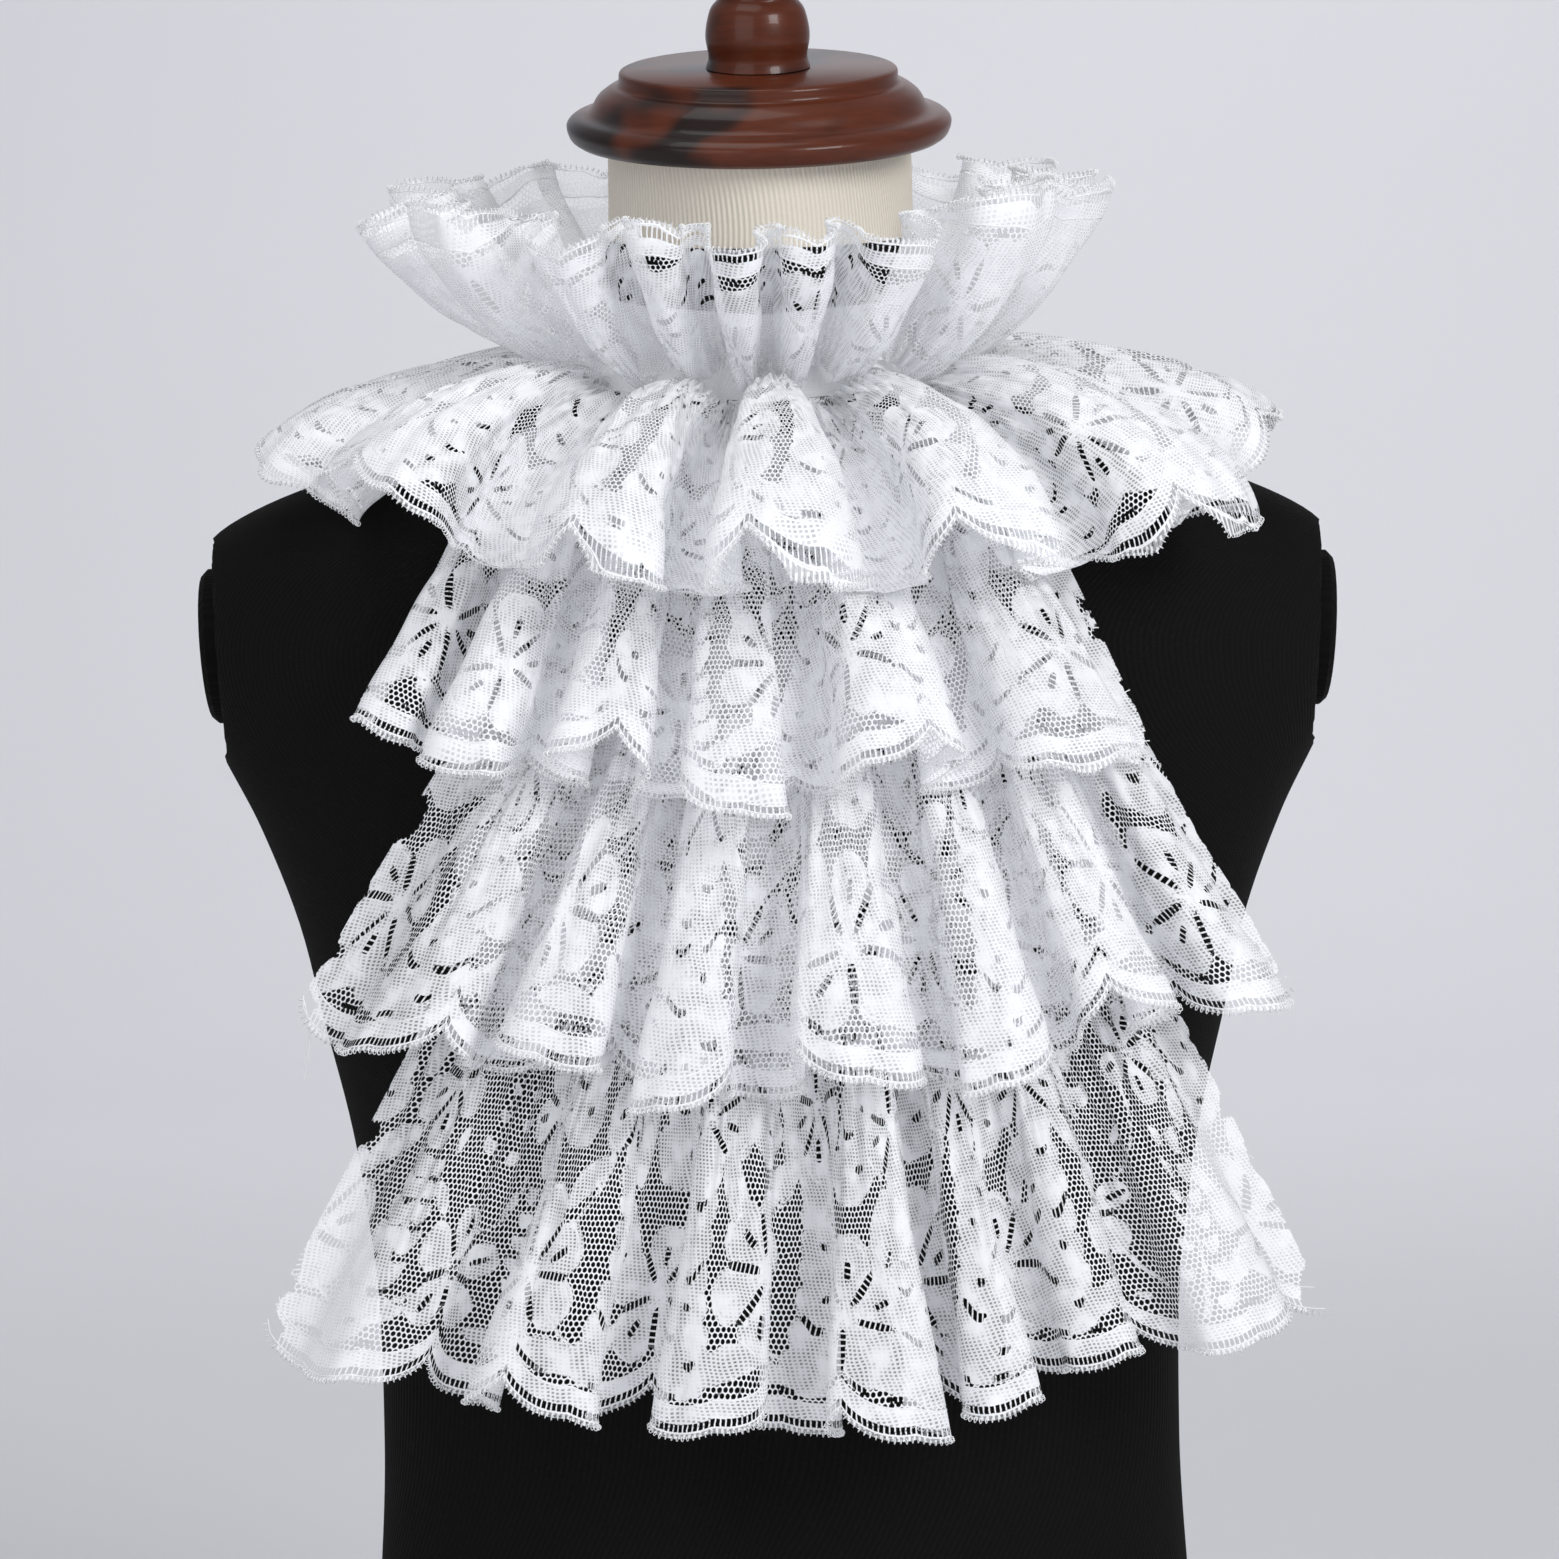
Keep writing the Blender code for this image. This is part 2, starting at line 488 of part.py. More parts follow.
def add_neck_band(material, collection):
    """The band that everything is sewn to. Its right end laps over its left end at the back."""
    foot = band_at(np.linspace(-180, 180, 181), 0.0)
    lap = 360 * BAND_LAP / np.linalg.norm(np.diff(foot, axis=0), axis=1).sum()
    bearing = np.linspace(-180, 180 + lap, BAND_COLUMNS + 1)
    lapping = np.clip((bearing - 180 + lap) / lap, 0, 1)
    step_out = (CLOTH + SEAM_GAP) * lapping**2 * (3 - 2 * lapping)
    up = np.linspace(0, BAND_HEIGHT, BAND_ROWS + 1)[:, None]
    wrapped = np.where(bearing > 180, bearing - 360, bearing)[None, :]
    return add_wall("neck_band", band_at(wrapped, up, step_out), CLOTH, material, collection)


def fold_phases(folds, per_fold):
    """Phase of each column of a ruffle: crests at whole turns, both ends in a trough."""
    return np.linspace(-math.pi, (2 * folds - 1) * math.pi, folds * per_fold + 1)


def through_folds(values, phases, low=None, high=None):
    """A value given at each crest, carried smoothly along the ruffle; troughs lie half way between."""
    troughs = (values[1:] + values[:-1]) / 2
    ends = [values[0] if low is None else low, values[-1] if high is None else high]
    stations = math.pi * np.arange(-1, 2 * len(values))
    knots = np.empty(len(stations))
    knots[1::2] = values
    knots[2:-1:2] = troughs
    knots[0], knots[-1] = ends
    return smooth_curve(stations, knots, phases)


def hem_notch(along, pitch, depth):
    """How far the scalloped hem is cut back, at a distance along it."""
    return depth * (1 - np.abs(np.sin(math.pi * along / pitch)) ** SCALLOP_ROUND)


def ruffle_points(mean, crests, folds, strip, grid, head_swing, pitch, notch, growth=FOLD_GROWTH, side=1):
    """A gathered strip: folds swing about a mean surface, more and more from the head to the hem.

    mean gives the point at a share along the strip and a share down it, and crests holds the share along
    of each fold. Each fold's depth, spread, overhang and lean are those of its hem. side is -1 for a strip
    that stands up, whose crests would face the neck without it.
    """
    rows, per_fold = grid
    phases = fold_phases(len(crests), per_fold)
    along = through_folds(crests, phases, 0.0, 1.0)[None, :]
    names = ("wide", "over", "lean", "drop")
    swing = {n: through_folds(column(folds, n), phases)[None, :] for n in names}
    swing["depth"] = through_folds(column(folds, "depth"), phases, END_DEPTH, END_DEPTH)[None, :]
    down = np.linspace(0, 1, rows + 1)[:, None]

    def folded(down):
        here = mean(along, down)
        sideways = mean(along + 1e-4, down) - mean(along - 1e-4, down)
        downward = mean(along, down + 1e-3) - mean(along, down - 1e-3)
        sideways /= np.linalg.norm(sideways, axis=-1, keepdims=True)
        outward = side * np.cross(downward, sideways)
        outward /= np.linalg.norm(outward, axis=-1, keepdims=True)
        grown = down**growth
        crest = (head_swing + (swing["depth"] - head_swing) * grown) * np.cos(phases)
        aside = swing["over"] * np.sin(2 * phases) + swing["wide"] * np.sin(phases)
        aside = (aside + swing["lean"] * np.cos(phases)) * down**OVER_GROWTH
        return here + outward * crest[..., None] + sideways * aside[..., None]

    hem = folded(np.ones((1, 1)))[0]
    run = np.concatenate([[0], np.cumsum(np.linalg.norm(np.diff(hem, axis=0), axis=1))])
    reach = 1 + (swing["drop"] - hem_notch(run, pitch, notch)) / strip
    return folded(down * reach)


def ring_mean(foot, rim, bend):
    """The mean surface of a ruffle round the neck, open at the back, bent and arched between its edges."""

    def mean(along, down):
        bearing = (2 * along - 1) * (180 - BACK_SLIT)
        inner, outer = foot(bearing), ring_at(rim, bearing)
        spread = 1 - np.maximum(1 - down, 0) ** bend["leave"]
        climb = np.sign(down) * np.abs(down) ** bend["fall"]
        lift = bend["arch"] * np.sin(math.pi * np.clip(down, 0, 1))
        flat = inner[..., :2] + (outer - inner)[..., :2] * spread[..., None]
        tall = inner[..., 2] + (outer - inner)[..., 2] * climb + lift
        return np.concatenate([flat, np.broadcast_to(tall, flat.shape[:-1])[..., None]], axis=-1)

    return mean


def ring_crests(folds):
    return (column(folds, "bearing") / (180 - BACK_SLIT) + 1) / 2


def on_band(up, swing):
    """A ring of the band's outer face that a ruffle's head lies on."""
    off = CLOTH / 2 + 2 * SEAM_GAP + CLOTH / 2 + swing

    def foot(bearing):
        return band_at(bearing, up, off)

    return foot


def add_ruff(material, collection):
    """The standing ruff, with organ-pipe folds."""
    mean = ring_mean(on_band(RUFF_UP, RUFF_SWING - 3 * SEAM_GAP), RUFF_TOP, RUFF_BEND)
    points = ruffle_points(
        mean,
        ring_crests(RUFF_FOLDS),
        RUFF_FOLDS,
        RUFF_STRIP,
        GRIDS["ruff"],
        RUFF_SWING,
        RUFF_PITCH,
        RUFF_NOTCH,
        RUFF_GROWTH,
        side=-1,
    )
    return add_wall("ruff", points, CLOTH, material, collection)


def add_cape(material, collection):
    """The ruffle that spreads over the shoulders from the foot of the band."""
    mean = ring_mean(on_band(CAPE_UP, RING_SWING), CAPE_HEM, CAPE_BEND)
    points = ruffle_points(
        mean,
        ring_crests(CAPE_FOLDS),
        CAPE_FOLDS,
        CAPE_STRIP,
        GRIDS["cape"],
        RING_SWING,
        SCALLOP_PITCH,
        SCALLOP_DEPTH,
    )
    return add_wall("cape", points, CLOTH, material, collection)


def tier_mean(tier):
    """The mean surface of a bib tier: it leaves the bib at its head and hangs out over the tier below."""
    head_off = BIB["clear"] + CLOTH + 2 * SEAM_GAP + CLOTH / 2 + TIER_HEAD_SWING

    def mean(along, down):
        across_head = -tier["head_left"] + (tier["head_left"] + tier["head_right"]) * along
        across_hem = -tier["hem_left"] + (tier["hem_left"] + tier["hem_right"]) * along
        side = (across_hem / np.where(across_hem < 0, tier["hem_left"], tier["hem_right"])) ** 2
        rise = np.where(across_hem < 0, tier["rise_left"], tier["rise_right"]) * side
        head = on_chest(across_head, tier["head"], head_off)
        leave = 1 - np.maximum(1 - down, 0) ** tier["leave"]
        x = head[..., 0] + (across_hem - head[..., 0]) * down
        z = head[..., 2] + (tier["hem"] + rise - head[..., 2]) * down
        hung = -head[..., 1] + (tier["out"] - tier["sweep"] * side + head[..., 1]) * leave
        rested = chest(x, z) + head_off + TIER_REST * np.clip(down, 0, 1) ** FOLD_GROWTH
        out = (hung + rested + np.sqrt((hung - rested) ** 2 + TIER_BLEND**2 * down**2)) / 2
        return np.stack([x, -out, z], axis=-1)

    return mean


def add_tier(name, material, collection):
    tier, folds = TIERS[name], TIER_FOLDS[name]
    width = tier["hem_left"] + tier["hem_right"]
    crests = (column(folds, "right") + tier["hem_left"]) / width
    points = ruffle_points(
        tier_mean(tier), crests, folds, STRIP, GRIDS["tier"], TIER_HEAD_SWING, SCALLOP_PITCH, SCALLOP_DEPTH
    )
    return add_wall(name, points, CLOTH, material, collection)


def add_bib(material, collection):
    """The net panel that lies on the chest and carries the tiers' heads."""
    down = np.linspace(0, 1, BIB_ROWS + 1)[:, None]
    across = np.linspace(-1, 1, BIB_COLUMNS + 1)[None, :]
    half = [BIB[side][0] + (BIB[side][1] - BIB[side][0]) * down for side in ("left", "right")]
    x = across * np.where(across < 0, half[0], half[1])
    top = BIB["top"] - BIB_TOP_DIP * across**2
    z = top + (BIB["foot"] - top) * down
    return add_wall("bib", on_chest(x, z, BIB["clear"] + CLOTH / 2), CLOTH, material, collection)


def main():
    clear_scene()
    collection = bpy.data.collections.new("lace_jabot_collar_on_form")
    bpy.context.scene.collection.children.link(collection)
    lace = new_material("lace", LACE_WHITE)
    linen = new_material("neck_linen", NECK_LINEN)
    cover = new_material("form_cover", COVER_BLACK)
    wood = new_material("wood", TURNED_WOOD)
    add_form(cover, linen, collection)
    for name, side in (("arm_plate_left", -1), ("arm_plate_right", 1)):
        add_arm_plate(name, side, cover, collection)
    add_neck_wood(wood, collection)
    add_neck_band(lace, collection)
    add_bib(lace, collection)
    add_ruff(lace, collection)
    add_cape(lace, collection)
    for name in TIERS:
        add_tier(name, lace, collection)


main()
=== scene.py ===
"""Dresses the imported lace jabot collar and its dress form: fine lace ruffles, trims, wood and studio."""

import math

import bmesh
import bpy
import numpy as np
from bpy.props import FloatProperty, FloatVectorProperty, IntProperty, PointerProperty
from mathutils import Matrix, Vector


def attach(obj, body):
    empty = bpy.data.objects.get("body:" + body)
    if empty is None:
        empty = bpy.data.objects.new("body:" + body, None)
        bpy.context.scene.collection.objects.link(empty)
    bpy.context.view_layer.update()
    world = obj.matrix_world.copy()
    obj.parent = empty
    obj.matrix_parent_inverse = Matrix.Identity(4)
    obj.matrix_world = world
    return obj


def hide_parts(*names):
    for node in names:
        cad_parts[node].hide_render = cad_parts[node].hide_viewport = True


bl_info = {
    "name": "Lace Jabot Collar",
    "version": (1, 0, 0),
    "blender": (4, 5, 0),
    "location": "3D View > Sidebar > Lace Collar",
    "description": "Dresses a form with a gathered lace collar",
    "category": "Object",
}

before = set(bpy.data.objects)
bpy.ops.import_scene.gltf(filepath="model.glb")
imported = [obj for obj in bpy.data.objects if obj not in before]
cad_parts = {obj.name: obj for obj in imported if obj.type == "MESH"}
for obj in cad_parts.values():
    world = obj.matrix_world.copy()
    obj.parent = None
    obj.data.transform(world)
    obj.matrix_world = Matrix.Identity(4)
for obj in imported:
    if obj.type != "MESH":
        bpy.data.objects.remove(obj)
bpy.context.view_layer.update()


def table(columns, *rows):
    """Rows of values as records, under column names given once."""
    return [dict(zip(columns.split(), row)) for row in rows]


# The solids' own sizes, in metres
CLOTH = 0.0012
SEAM_GAP = 0.0004
STRIP = 0.140
SCALLOP_PITCH = 0.078
SCALLOP_DEPTH, SCALLOP_POWER = 0.012, 0.6
FORM_SECTIONS = table(
    "height half_width front back",
    (0.000, 0.152, 0.112, 0.112),
    (0.052, 0.148, 0.108, 0.107),
    (0.104, 0.1435, 0.101, 0.097),
    (0.150, 0.1415, 0.097, 0.088),
    (0.195, 0.142, 0.099, 0.085),
    (0.230, 0.1455, 0.105, 0.088),
    (0.262, 0.1505, 0.113, 0.093),
    (0.300, 0.1595, 0.122, 0.101),
    (0.336, 0.168, 0.126, 0.108),
    (0.370, 0.181, 0.122, 0.114),
    (0.405, 0.198, 0.113, 0.117),
    (0.440, 0.206, 0.101, 0.114),
    (0.460, 0.204, 0.093, 0.107),
    (0.474, 0.194, 0.087, 0.099),
    (0.484, 0.176, 0.083, 0.091),
    (0.494, 0.149, 0.079, 0.082),
    (0.506, 0.113, 0.0745, 0.071),
    (0.519, 0.083, 0.0710, 0.060),
    (0.526, 0.0715, 0.0700, 0.0550),
    (0.533, 0.0640, 0.0695, 0.0505),
    (0.550, 0.0575, 0.0715, 0.0430),
    (0.572, 0.0550, 0.0780, 0.0340),
    (0.6075, 0.0545, 0.0885, 0.0200),
)
FORM_SQUARENESS = 2.4
NECK_SQUARENESS = 2.0
NECK_FOOT, NECK_ROUND = 0.500, 0.55
TILT_FOOT = 0.540
COVER_TOP, COVER_STEP = 0.572, 0.0008
NECK_TILT = math.radians(13)
ARM_PLANE = {"height": 0.434, "out": 0.1925, "lean": 0.06, "half": 0.037, "swell": 0.9}

BAND_FOOT = table(
    "bearing height",
    (0, 0.515),
    (45, 0.521),
    (90, 0.532),
    (135, 0.538),
    (180, 0.540),
)
BAND_HEIGHT = 0.030
BAND_CLEAR = 0.0020
BAND_LAP = 0.024
RUFF_TOP = table(
    "bearing reach height",
    (-180, 0.102, 0.604),
    (-135, 0.110, 0.606),
    (-90, 0.121, 0.593),
    (-60, 0.134, 0.583),
    (-30, 0.130, 0.576),
    (0, 0.128, 0.572),
    (30, 0.124, 0.577),
    (60, 0.116, 0.590),
    (90, 0.105, 0.594),
    (135, 0.104, 0.606),
    (180, 0.102, 0.604),
)
CAPE_HEM = table(
    "bearing reach height",
    (-180, 0.150, 0.508),
    (-135, 0.158, 0.501),
    (-90, 0.165, 0.500),
    (-70, 0.174, 0.489),
    (-45, 0.181, 0.472),
    (-20, 0.177, 0.460),
    (0, 0.176, 0.454),
    (25, 0.178, 0.458),
    (45, 0.182, 0.464),
    (70, 0.176, 0.487),
    (90, 0.168, 0.505),
    (135, 0.158, 0.506),
    (180, 0.150, 0.508),
)
RUFF_STRIP = 0.078
CAPE_STRIP = 0.122
BACK_SLIT = 2.5
RUFF_FOLDS = table(
    "bearing depth wide over lean drop",
    (-164, 0.010, 0.003, 0.004, 0.000, 0.000),
    (-141, 0.011, 0.003, 0.004, 0.000, 0.003),
    (-118, 0.011, 0.003, 0.004, 0.000, -0.002),
    (-96, 0.014, 0.003, 0.004, -0.002, 0.004),
    (-74, 0.018, 0.004, 0.004, -0.002, -0.002),
    (-49, 0.019, 0.005, 0.005, 0.002, 0.006),
    (-29, 0.016, 0.004, 0.004, -0.002, -0.003),
    (-16, 0.013, 0.002, 0.003, 0.001, 0.003),
    (-4, 0.014, 0.003, 0.003, 0.001, -0.004),
    (7, 0.013, 0.003, 0.003, -0.001, 0.001),
    (20, 0.016, 0.004, 0.004, 0.002, -0.003),
    (40, 0.019, 0.006, 0.005, 0.003, 0.007),
    (65, 0.018, 0.004, 0.005, 0.002, 0.000),
    (90, 0.013, 0.003, 0.004, 0.001, 0.004),
    (114, 0.011, 0.003, 0.004, 0.000, 0.003),
    (139, 0.011, 0.003, 0.004, 0.000, -0.002),
    (164, 0.010, 0.003, 0.004, 0.000, 0.000),
)
CAPE_FOLDS = table(
    "bearing depth wide over lean drop",
    (-160, 0.016, 0.002, 0.005, 0.000, 0.000),
    (-134, 0.017, 0.002, 0.006, 0.000, 0.004),
    (-108, 0.013, 0.003, 0.006, -0.002, 0.000),
    (-79, 0.013, 0.006, 0.008, -0.004, 0.000),
    (-46, 0.024, 0.008, 0.010, 0.006, -0.006),
    (-18, 0.019, 0.003, 0.009, 0.004, 0.006),
    (2, 0.028, 0.004, 0.013, -0.003, 0.004),
    (24, 0.021, 0.004, 0.010, 0.003, 0.002),
    (48, 0.024, 0.007, 0.010, 0.006, 0.004),
    (79, 0.016, 0.004, 0.005, 0.002, 0.000),
    (108, 0.014, 0.002, 0.004, 0.001, 0.003),
    (134, 0.017, 0.002, 0.006, 0.000, 0.000),
    (160, 0.016, 0.002, 0.005, 0.000, 0.000),
)
TIERS = {
    "tier_upper": {
        "head": 0.503, "head_left": 0.086, "head_right": 0.080, "hem": 0.383, "hem_left": 0.145,
        "hem_right": 0.136, "out": 0.171, "sweep": 0.046, "rise_left": 0.026, "rise_right": 0.006,
        "leave": 1.4,
    },
    "tier_middle": {
        "head": 0.432, "head_left": 0.086, "head_right": 0.106, "hem": 0.283, "hem_left": 0.172,
        "hem_right": 0.184, "out": 0.162, "sweep": 0.056, "rise_left": 0.020, "rise_right": 0.024,
        "leave": 1.8,
    },
    "tier_lower": {
        "head": 0.322, "head_left": 0.110, "head_right": 0.128, "hem": 0.171, "hem_left": 0.186,
        "hem_right": 0.195, "out": 0.146, "sweep": 0.044, "rise_left": 0.019, "rise_right": 0.023,
        "leave": 1.8,
    },
}
TIER_FOLDS = {
    "tier_upper": table(
        "right depth wide over lean drop",
        (-0.128, 0.010, 0.001, 0.005, -0.003, 0.000),
        (-0.098, 0.015, 0.002, 0.007, -0.004, 0.006),
        (-0.056, 0.016, 0.003, 0.009, -0.002, -0.004),
        (-0.014, 0.015, 0.002, 0.008, 0.003, 0.008),
        (0.040, 0.018, 0.005, 0.011, 0.004, -0.004),
        (0.100, 0.016, 0.004, 0.009, 0.003, 0.000),
    ),
    "tier_middle": table(
        "right depth wide over lean drop",
        (-0.120, 0.015, 0.003, 0.007, -0.002, 0.000),
        (-0.074, 0.018, 0.004, 0.010, -0.003, -0.006),
        (-0.032, 0.014, 0.001, 0.007, 0.002, 0.006),
        (0.026, 0.018, 0.006, 0.011, 0.000, -0.002),
        (0.076, 0.013, 0.001, 0.007, 0.003, 0.004),
        (0.118, 0.016, 0.004, 0.009, 0.005, -0.010),
        (0.160, 0.013, 0.002, 0.004, 0.003, -0.002),
    ),
    "tier_lower": table(
        "right depth wide over lean drop",
        (-0.142, 0.013, 0.003, 0.004, -0.002, -0.002),
        (-0.082, 0.018, 0.005, 0.010, -0.003, 0.000),
        (-0.024, 0.015, 0.003, 0.008, 0.002, 0.002),
        (0.036, 0.018, 0.004, 0.010, -0.002, 0.006),
        (0.072, 0.013, 0.001, 0.006, 0.003, 0.000),
        (0.110, 0.011, 0.003, 0.004, 0.002, -0.010),
        (0.158, 0.013, 0.003, 0.004, 0.002, -0.006),
    ),
}
TIER_HEAD_SWING = 0.0010
RING_SWING = 0.0012
RUFF_UP, CAPE_UP = 0.0085, 0.0010
RUFF_PITCH, RUFF_NOTCH = 0.044, 0.004
END_DEPTH = 0.003
FOLD_GROWTH, OVER_GROWTH = 0.5, 1.0
RUFF_SWING, RUFF_GROWTH = 0.0026, 0.30
CAPE_ARCH = 0.001
# How sharply a ring's ruffle leaves the band, and how it rises or falls on its way out
RUFF_LEAVE, RUFF_FALL = 1.5, 1.05
CAPE_LEAVE, CAPE_FALL = 1.4, 1.4
TIER_REST, TIER_BLEND = 0.020, 0.006
BIB = {"top": 0.5135, "foot": 0.308, "left": (0.084, 0.114), "right": (0.081, 0.132), "clear": 0.0022}
BIB_TOP_DIP = 0.0095
CAP_PROFILE = table(
    "radius height",
    (0.0470, 0.0250),
    (0.0485, 0.0240),
    (0.0490, 0.0205),
    (0.0520, 0.0190),
    (0.0560, 0.0160),
    (0.0585, 0.0120),
    (0.0605, 0.0105),
    (0.0650, 0.0090),
    (0.0672, 0.0060),
    (0.0660, 0.0020),
    (0.0635, 0.0000),
)
FINIAL_PROFILE = table(
    "radius height",
    (0.0060, 0.0860),
    (0.0130, 0.0835),
    (0.0180, 0.0765),
    (0.0190, 0.0690),
    (0.0165, 0.0610),
    (0.0110, 0.0550),
    (0.0098, 0.0500),
    (0.0125, 0.0450),
    (0.0152, 0.0410),
    (0.0152, 0.0370),
    (0.0132, 0.0345),
    (0.0152, 0.0320),
    (0.0152, 0.0280),
    (0.0130, 0.0250),
    (0.0165, 0.0200),
    (0.0182, 0.0110),
    (0.0172, 0.0040),
    (0.0182, 0.0000),
)

# One repeat of the lace, in millimetres: across from a notch of the hem, and up from the hem's tips
REPEAT_WIDTH, REPEAT_HEIGHT = 156, 134
FLOWERS = table(
    "across up petals reach long broad turn",
    (37, 42, 5, 12.0, 12.5, 8.8, 90),
    (112, 50, 6, 12.5, 12.0, 7.6, 20),
    (74, 98, 5, 11.5, 12.0, 8.4, 54),
    (2, 103, 5, 11.0, 11.5, 8.0, -90),
)
# Stems that carry pairs of lobes, with a ladder of bars between some of the neighbouring lobes
SPRAYS = table(
    "from to bow lobes long broad stem",
    ((76, 12), (72, 76), 3, 7, 15, 4.4, 1.7),
    ((150, 12), (158, 78), -4, 7, 14, 4.5, 2.2),
    ((36, 76), (42, 136), -5, 6, 15, 4.8, 1.5),
    ((118, 86), (110, 138), 4, 5, 15, 4.9, 2.0),
)
LEAVES = table(
    "across up long broad turn",
    (14, 24, 13, 4.2, 24),
    (56, 20, 12, 4.0, -14),
    (96, 22, 12, 4.4, 20),
    (127, 20, 13, 4.0, -8),
    (17, 62, 12, 4.6, 128),
    (56, 68, 11, 4.0, 58),
    (92, 74, 12, 4.4, 118),
    (134, 78, 12, 4.6, 40),
    (18, 84, 10, 4.0, 70),
    (96, 124, 10, 4.2, 110),
    (134, 118, 11, 4.4, 84),
    (60, 124, 11, 4.4, 30),
    (16, 128, 11, 4.6, 140),
)
# Thin laid threads that wander over the net
CORDS = table(
    "from to bow",
    ((6, 20), (30, 32), 5),
    ((88, 18), (104, 40), -4),
    ((140, 24), (122, 44), 4),
    ((44, 56), (60, 84), -6),
    ((100, 64), (84, 88), 6),
    ((126, 62), (146, 94), -5),
    ((12, 92), (30, 118), 5),
)
SLIT_HALF = 1.35
PETAL_LADDER = {"from": 0.32, "to": 1.62}
HEART_LADDER = {"from": 0.85, "to": 1.55}

NET_CELL = 2.1
CLOSE_WORK = 0.70
# Painted light: a faint whitish emission that makes the lace glow, in place of light shining through it into
# its shaded folds
LACE_PAINTED_GLOW = 0.05
# How much the figures are grown over the net, in millimetres
FULLER = {"ruff": 2.6, "cape": 1.9, "tier_upper": 1.4, "tier_middle": 0.9, "tier_lower": 0.9}
# Shares along a ruffle where the lace is left open, as wide fields of net
OPEN_NET = {"tier_upper": [0.47], "tier_middle": [0.16], "tier_lower": [0.11, 0.90]}
OPEN_WIDTH, OPEN_DEPTH = 0.055, 3.6

FINE = 0.0015
CAPE_FINE = 0.0017
FOLD_SAMPLES = 120
# Steps along and down a ruffle by which its directions are measured
STEP_ALONG, STEP_DOWN = 1e-4, 1e-3
# Three small lobes to each scallop; a ruffle with shallow scallops has them fainter
LOBE_DEPTH, LOBE_POWER, FAINT_LOBES = 0.0016, 0.8, 0.3
DEEP_SCALLOP = 0.006
# The fine gathers at a ruffle's head, its soft creases and the flutter of its hem
GATHER_PITCH, GATHER_DEPTH = 0.0085, 0.0024
CREASE_DEPTH, SLANT_DEPTH = 0.0009, 0.0010
FLUTTER_PITCH, FLUTTER_DEPTH = 0.021, 0.0008

# The close work's rows and bricks, the ladders' bars and the hem's stitches, in millimetres
CLOSE_ROW, CLOSE_BRICK = 1.15, 1.9
BAR_PITCH, BAR_MIDDLE = 1.95, 0.97
STITCH_PITCH, STITCH_MIDDLE = 1.85, 0.92
# The worked hem's height, its two ladders and its two laid lines, in millimetres up from its edge
HEM_TOP, HEM_CLEAR = 10.3, 10.0
HEM_LADDER, SECOND_LADDER = 3.2, 12.4
UPPER_LINE, LOWER_LINE = 9.8, 1.7
# Stands for a place that no figure of the pattern is near, in millimetres
FAR = 9.0

# The photo's side and the object's shift in it, in pixels, and how wide the camera sees at a distance
PHOTO_SIDE, PHOTO_SHIFT = 1559, 9
SEEN_WIDTH, SEEN_FROM = 0.530, 2.16
CAMERA_AIM = (0, -0.06, 0.385)
CAMERA_DOWN, CAMERA_LEAN = 2, -1.0
COLLAR_MIDDLE, WALL_MIDDLE = (0, -0.05, 0.42), (0.1, 4.6, 1.5)
LIGHTS = table(
    "name place aim size power",
    ("key", (1.45, -1.9, 1.4), COLLAR_MIDDLE, 0.9, 34),
    ("fill", (-1.2, -2.1, 0.9), COLLAR_MIDDLE, 1.8, 13),
    ("top", (-0.3, -0.5, 2.2), COLLAR_MIDDLE, 1.2, 10),
    ("wall_wash", (0.5, 2.4, 3.2), WALL_MIDDLE, 1.6, 48),
)
SKY_COLOUR, SKY_STRENGTH = (0.92, 0.94, 1.0, 1), 0.36
FLOOR_DROP = 0.0005


def column(rows, name):
    return np.array([row[name] for row in rows], float)


def smooth_curve(stations, values, at):
    """A curve through the values that never overshoots them."""
    step = np.diff(stations)
    slope = np.diff(values) / step
    tangent = np.concatenate([slope[:1], (slope[1:] + slope[:-1]) / 2, slope[-1:]])
    turning = slope[1:] * slope[:-1] <= 0
    tangent[1:-1][turning] = 0
    steepest = 3 * np.minimum(np.abs(slope[1:]), np.abs(slope[:-1]))
    tangent[1:-1] = np.clip(tangent[1:-1], -steepest, steepest)
    at = np.clip(at, stations[0], stations[-1])
    i = np.clip(np.searchsorted(stations, at, side="right") - 1, 0, len(step) - 1)
    t = (at - stations[i]) / step[i]
    return (
        values[i] * (1 + 2 * t) * (1 - t) ** 2
        + tangent[i] * step[i] * t * (1 - t) ** 2
        + values[i + 1] * t**2 * (3 - 2 * t)
        + tangent[i + 1] * step[i] * t**2 * (t - 1)
    )


def soft_noise(x, y, seed):
    """A smooth, uneven field between about -1 and 1 that changes over one unit of x and of y."""
    total = 0
    for k in range(4):
        a = 1.7 + 0.9 * math.sin(seed * 3.1 + k * 2.3)
        b = 1.6 + 0.9 * math.cos(seed * 1.7 + k * 4.1)
        across = a * x * (1 + 0.6 * k)
        upward = b * y * (1 + 0.4 * k) * (-1) ** k
        total = total + np.sin(across + upward + seed * 7.7 * (k + 1))
    return total / 2.6


def form_section(height):
    """Half width, front, back and squareness of the dress form at a height."""
    heights = column(FORM_SECTIONS, "height")
    names = ("half_width", "front", "back")
    sizes = [smooth_curve(heights, column(FORM_SECTIONS, name), height) for name in names]
    neckness = np.clip((height - NECK_FOOT) / (NECK_ROUND - NECK_FOOT), 0, 1)
    return (*sizes, FORM_SQUARENESS + (NECK_SQUARENESS - FORM_SQUARENESS) * neckness)


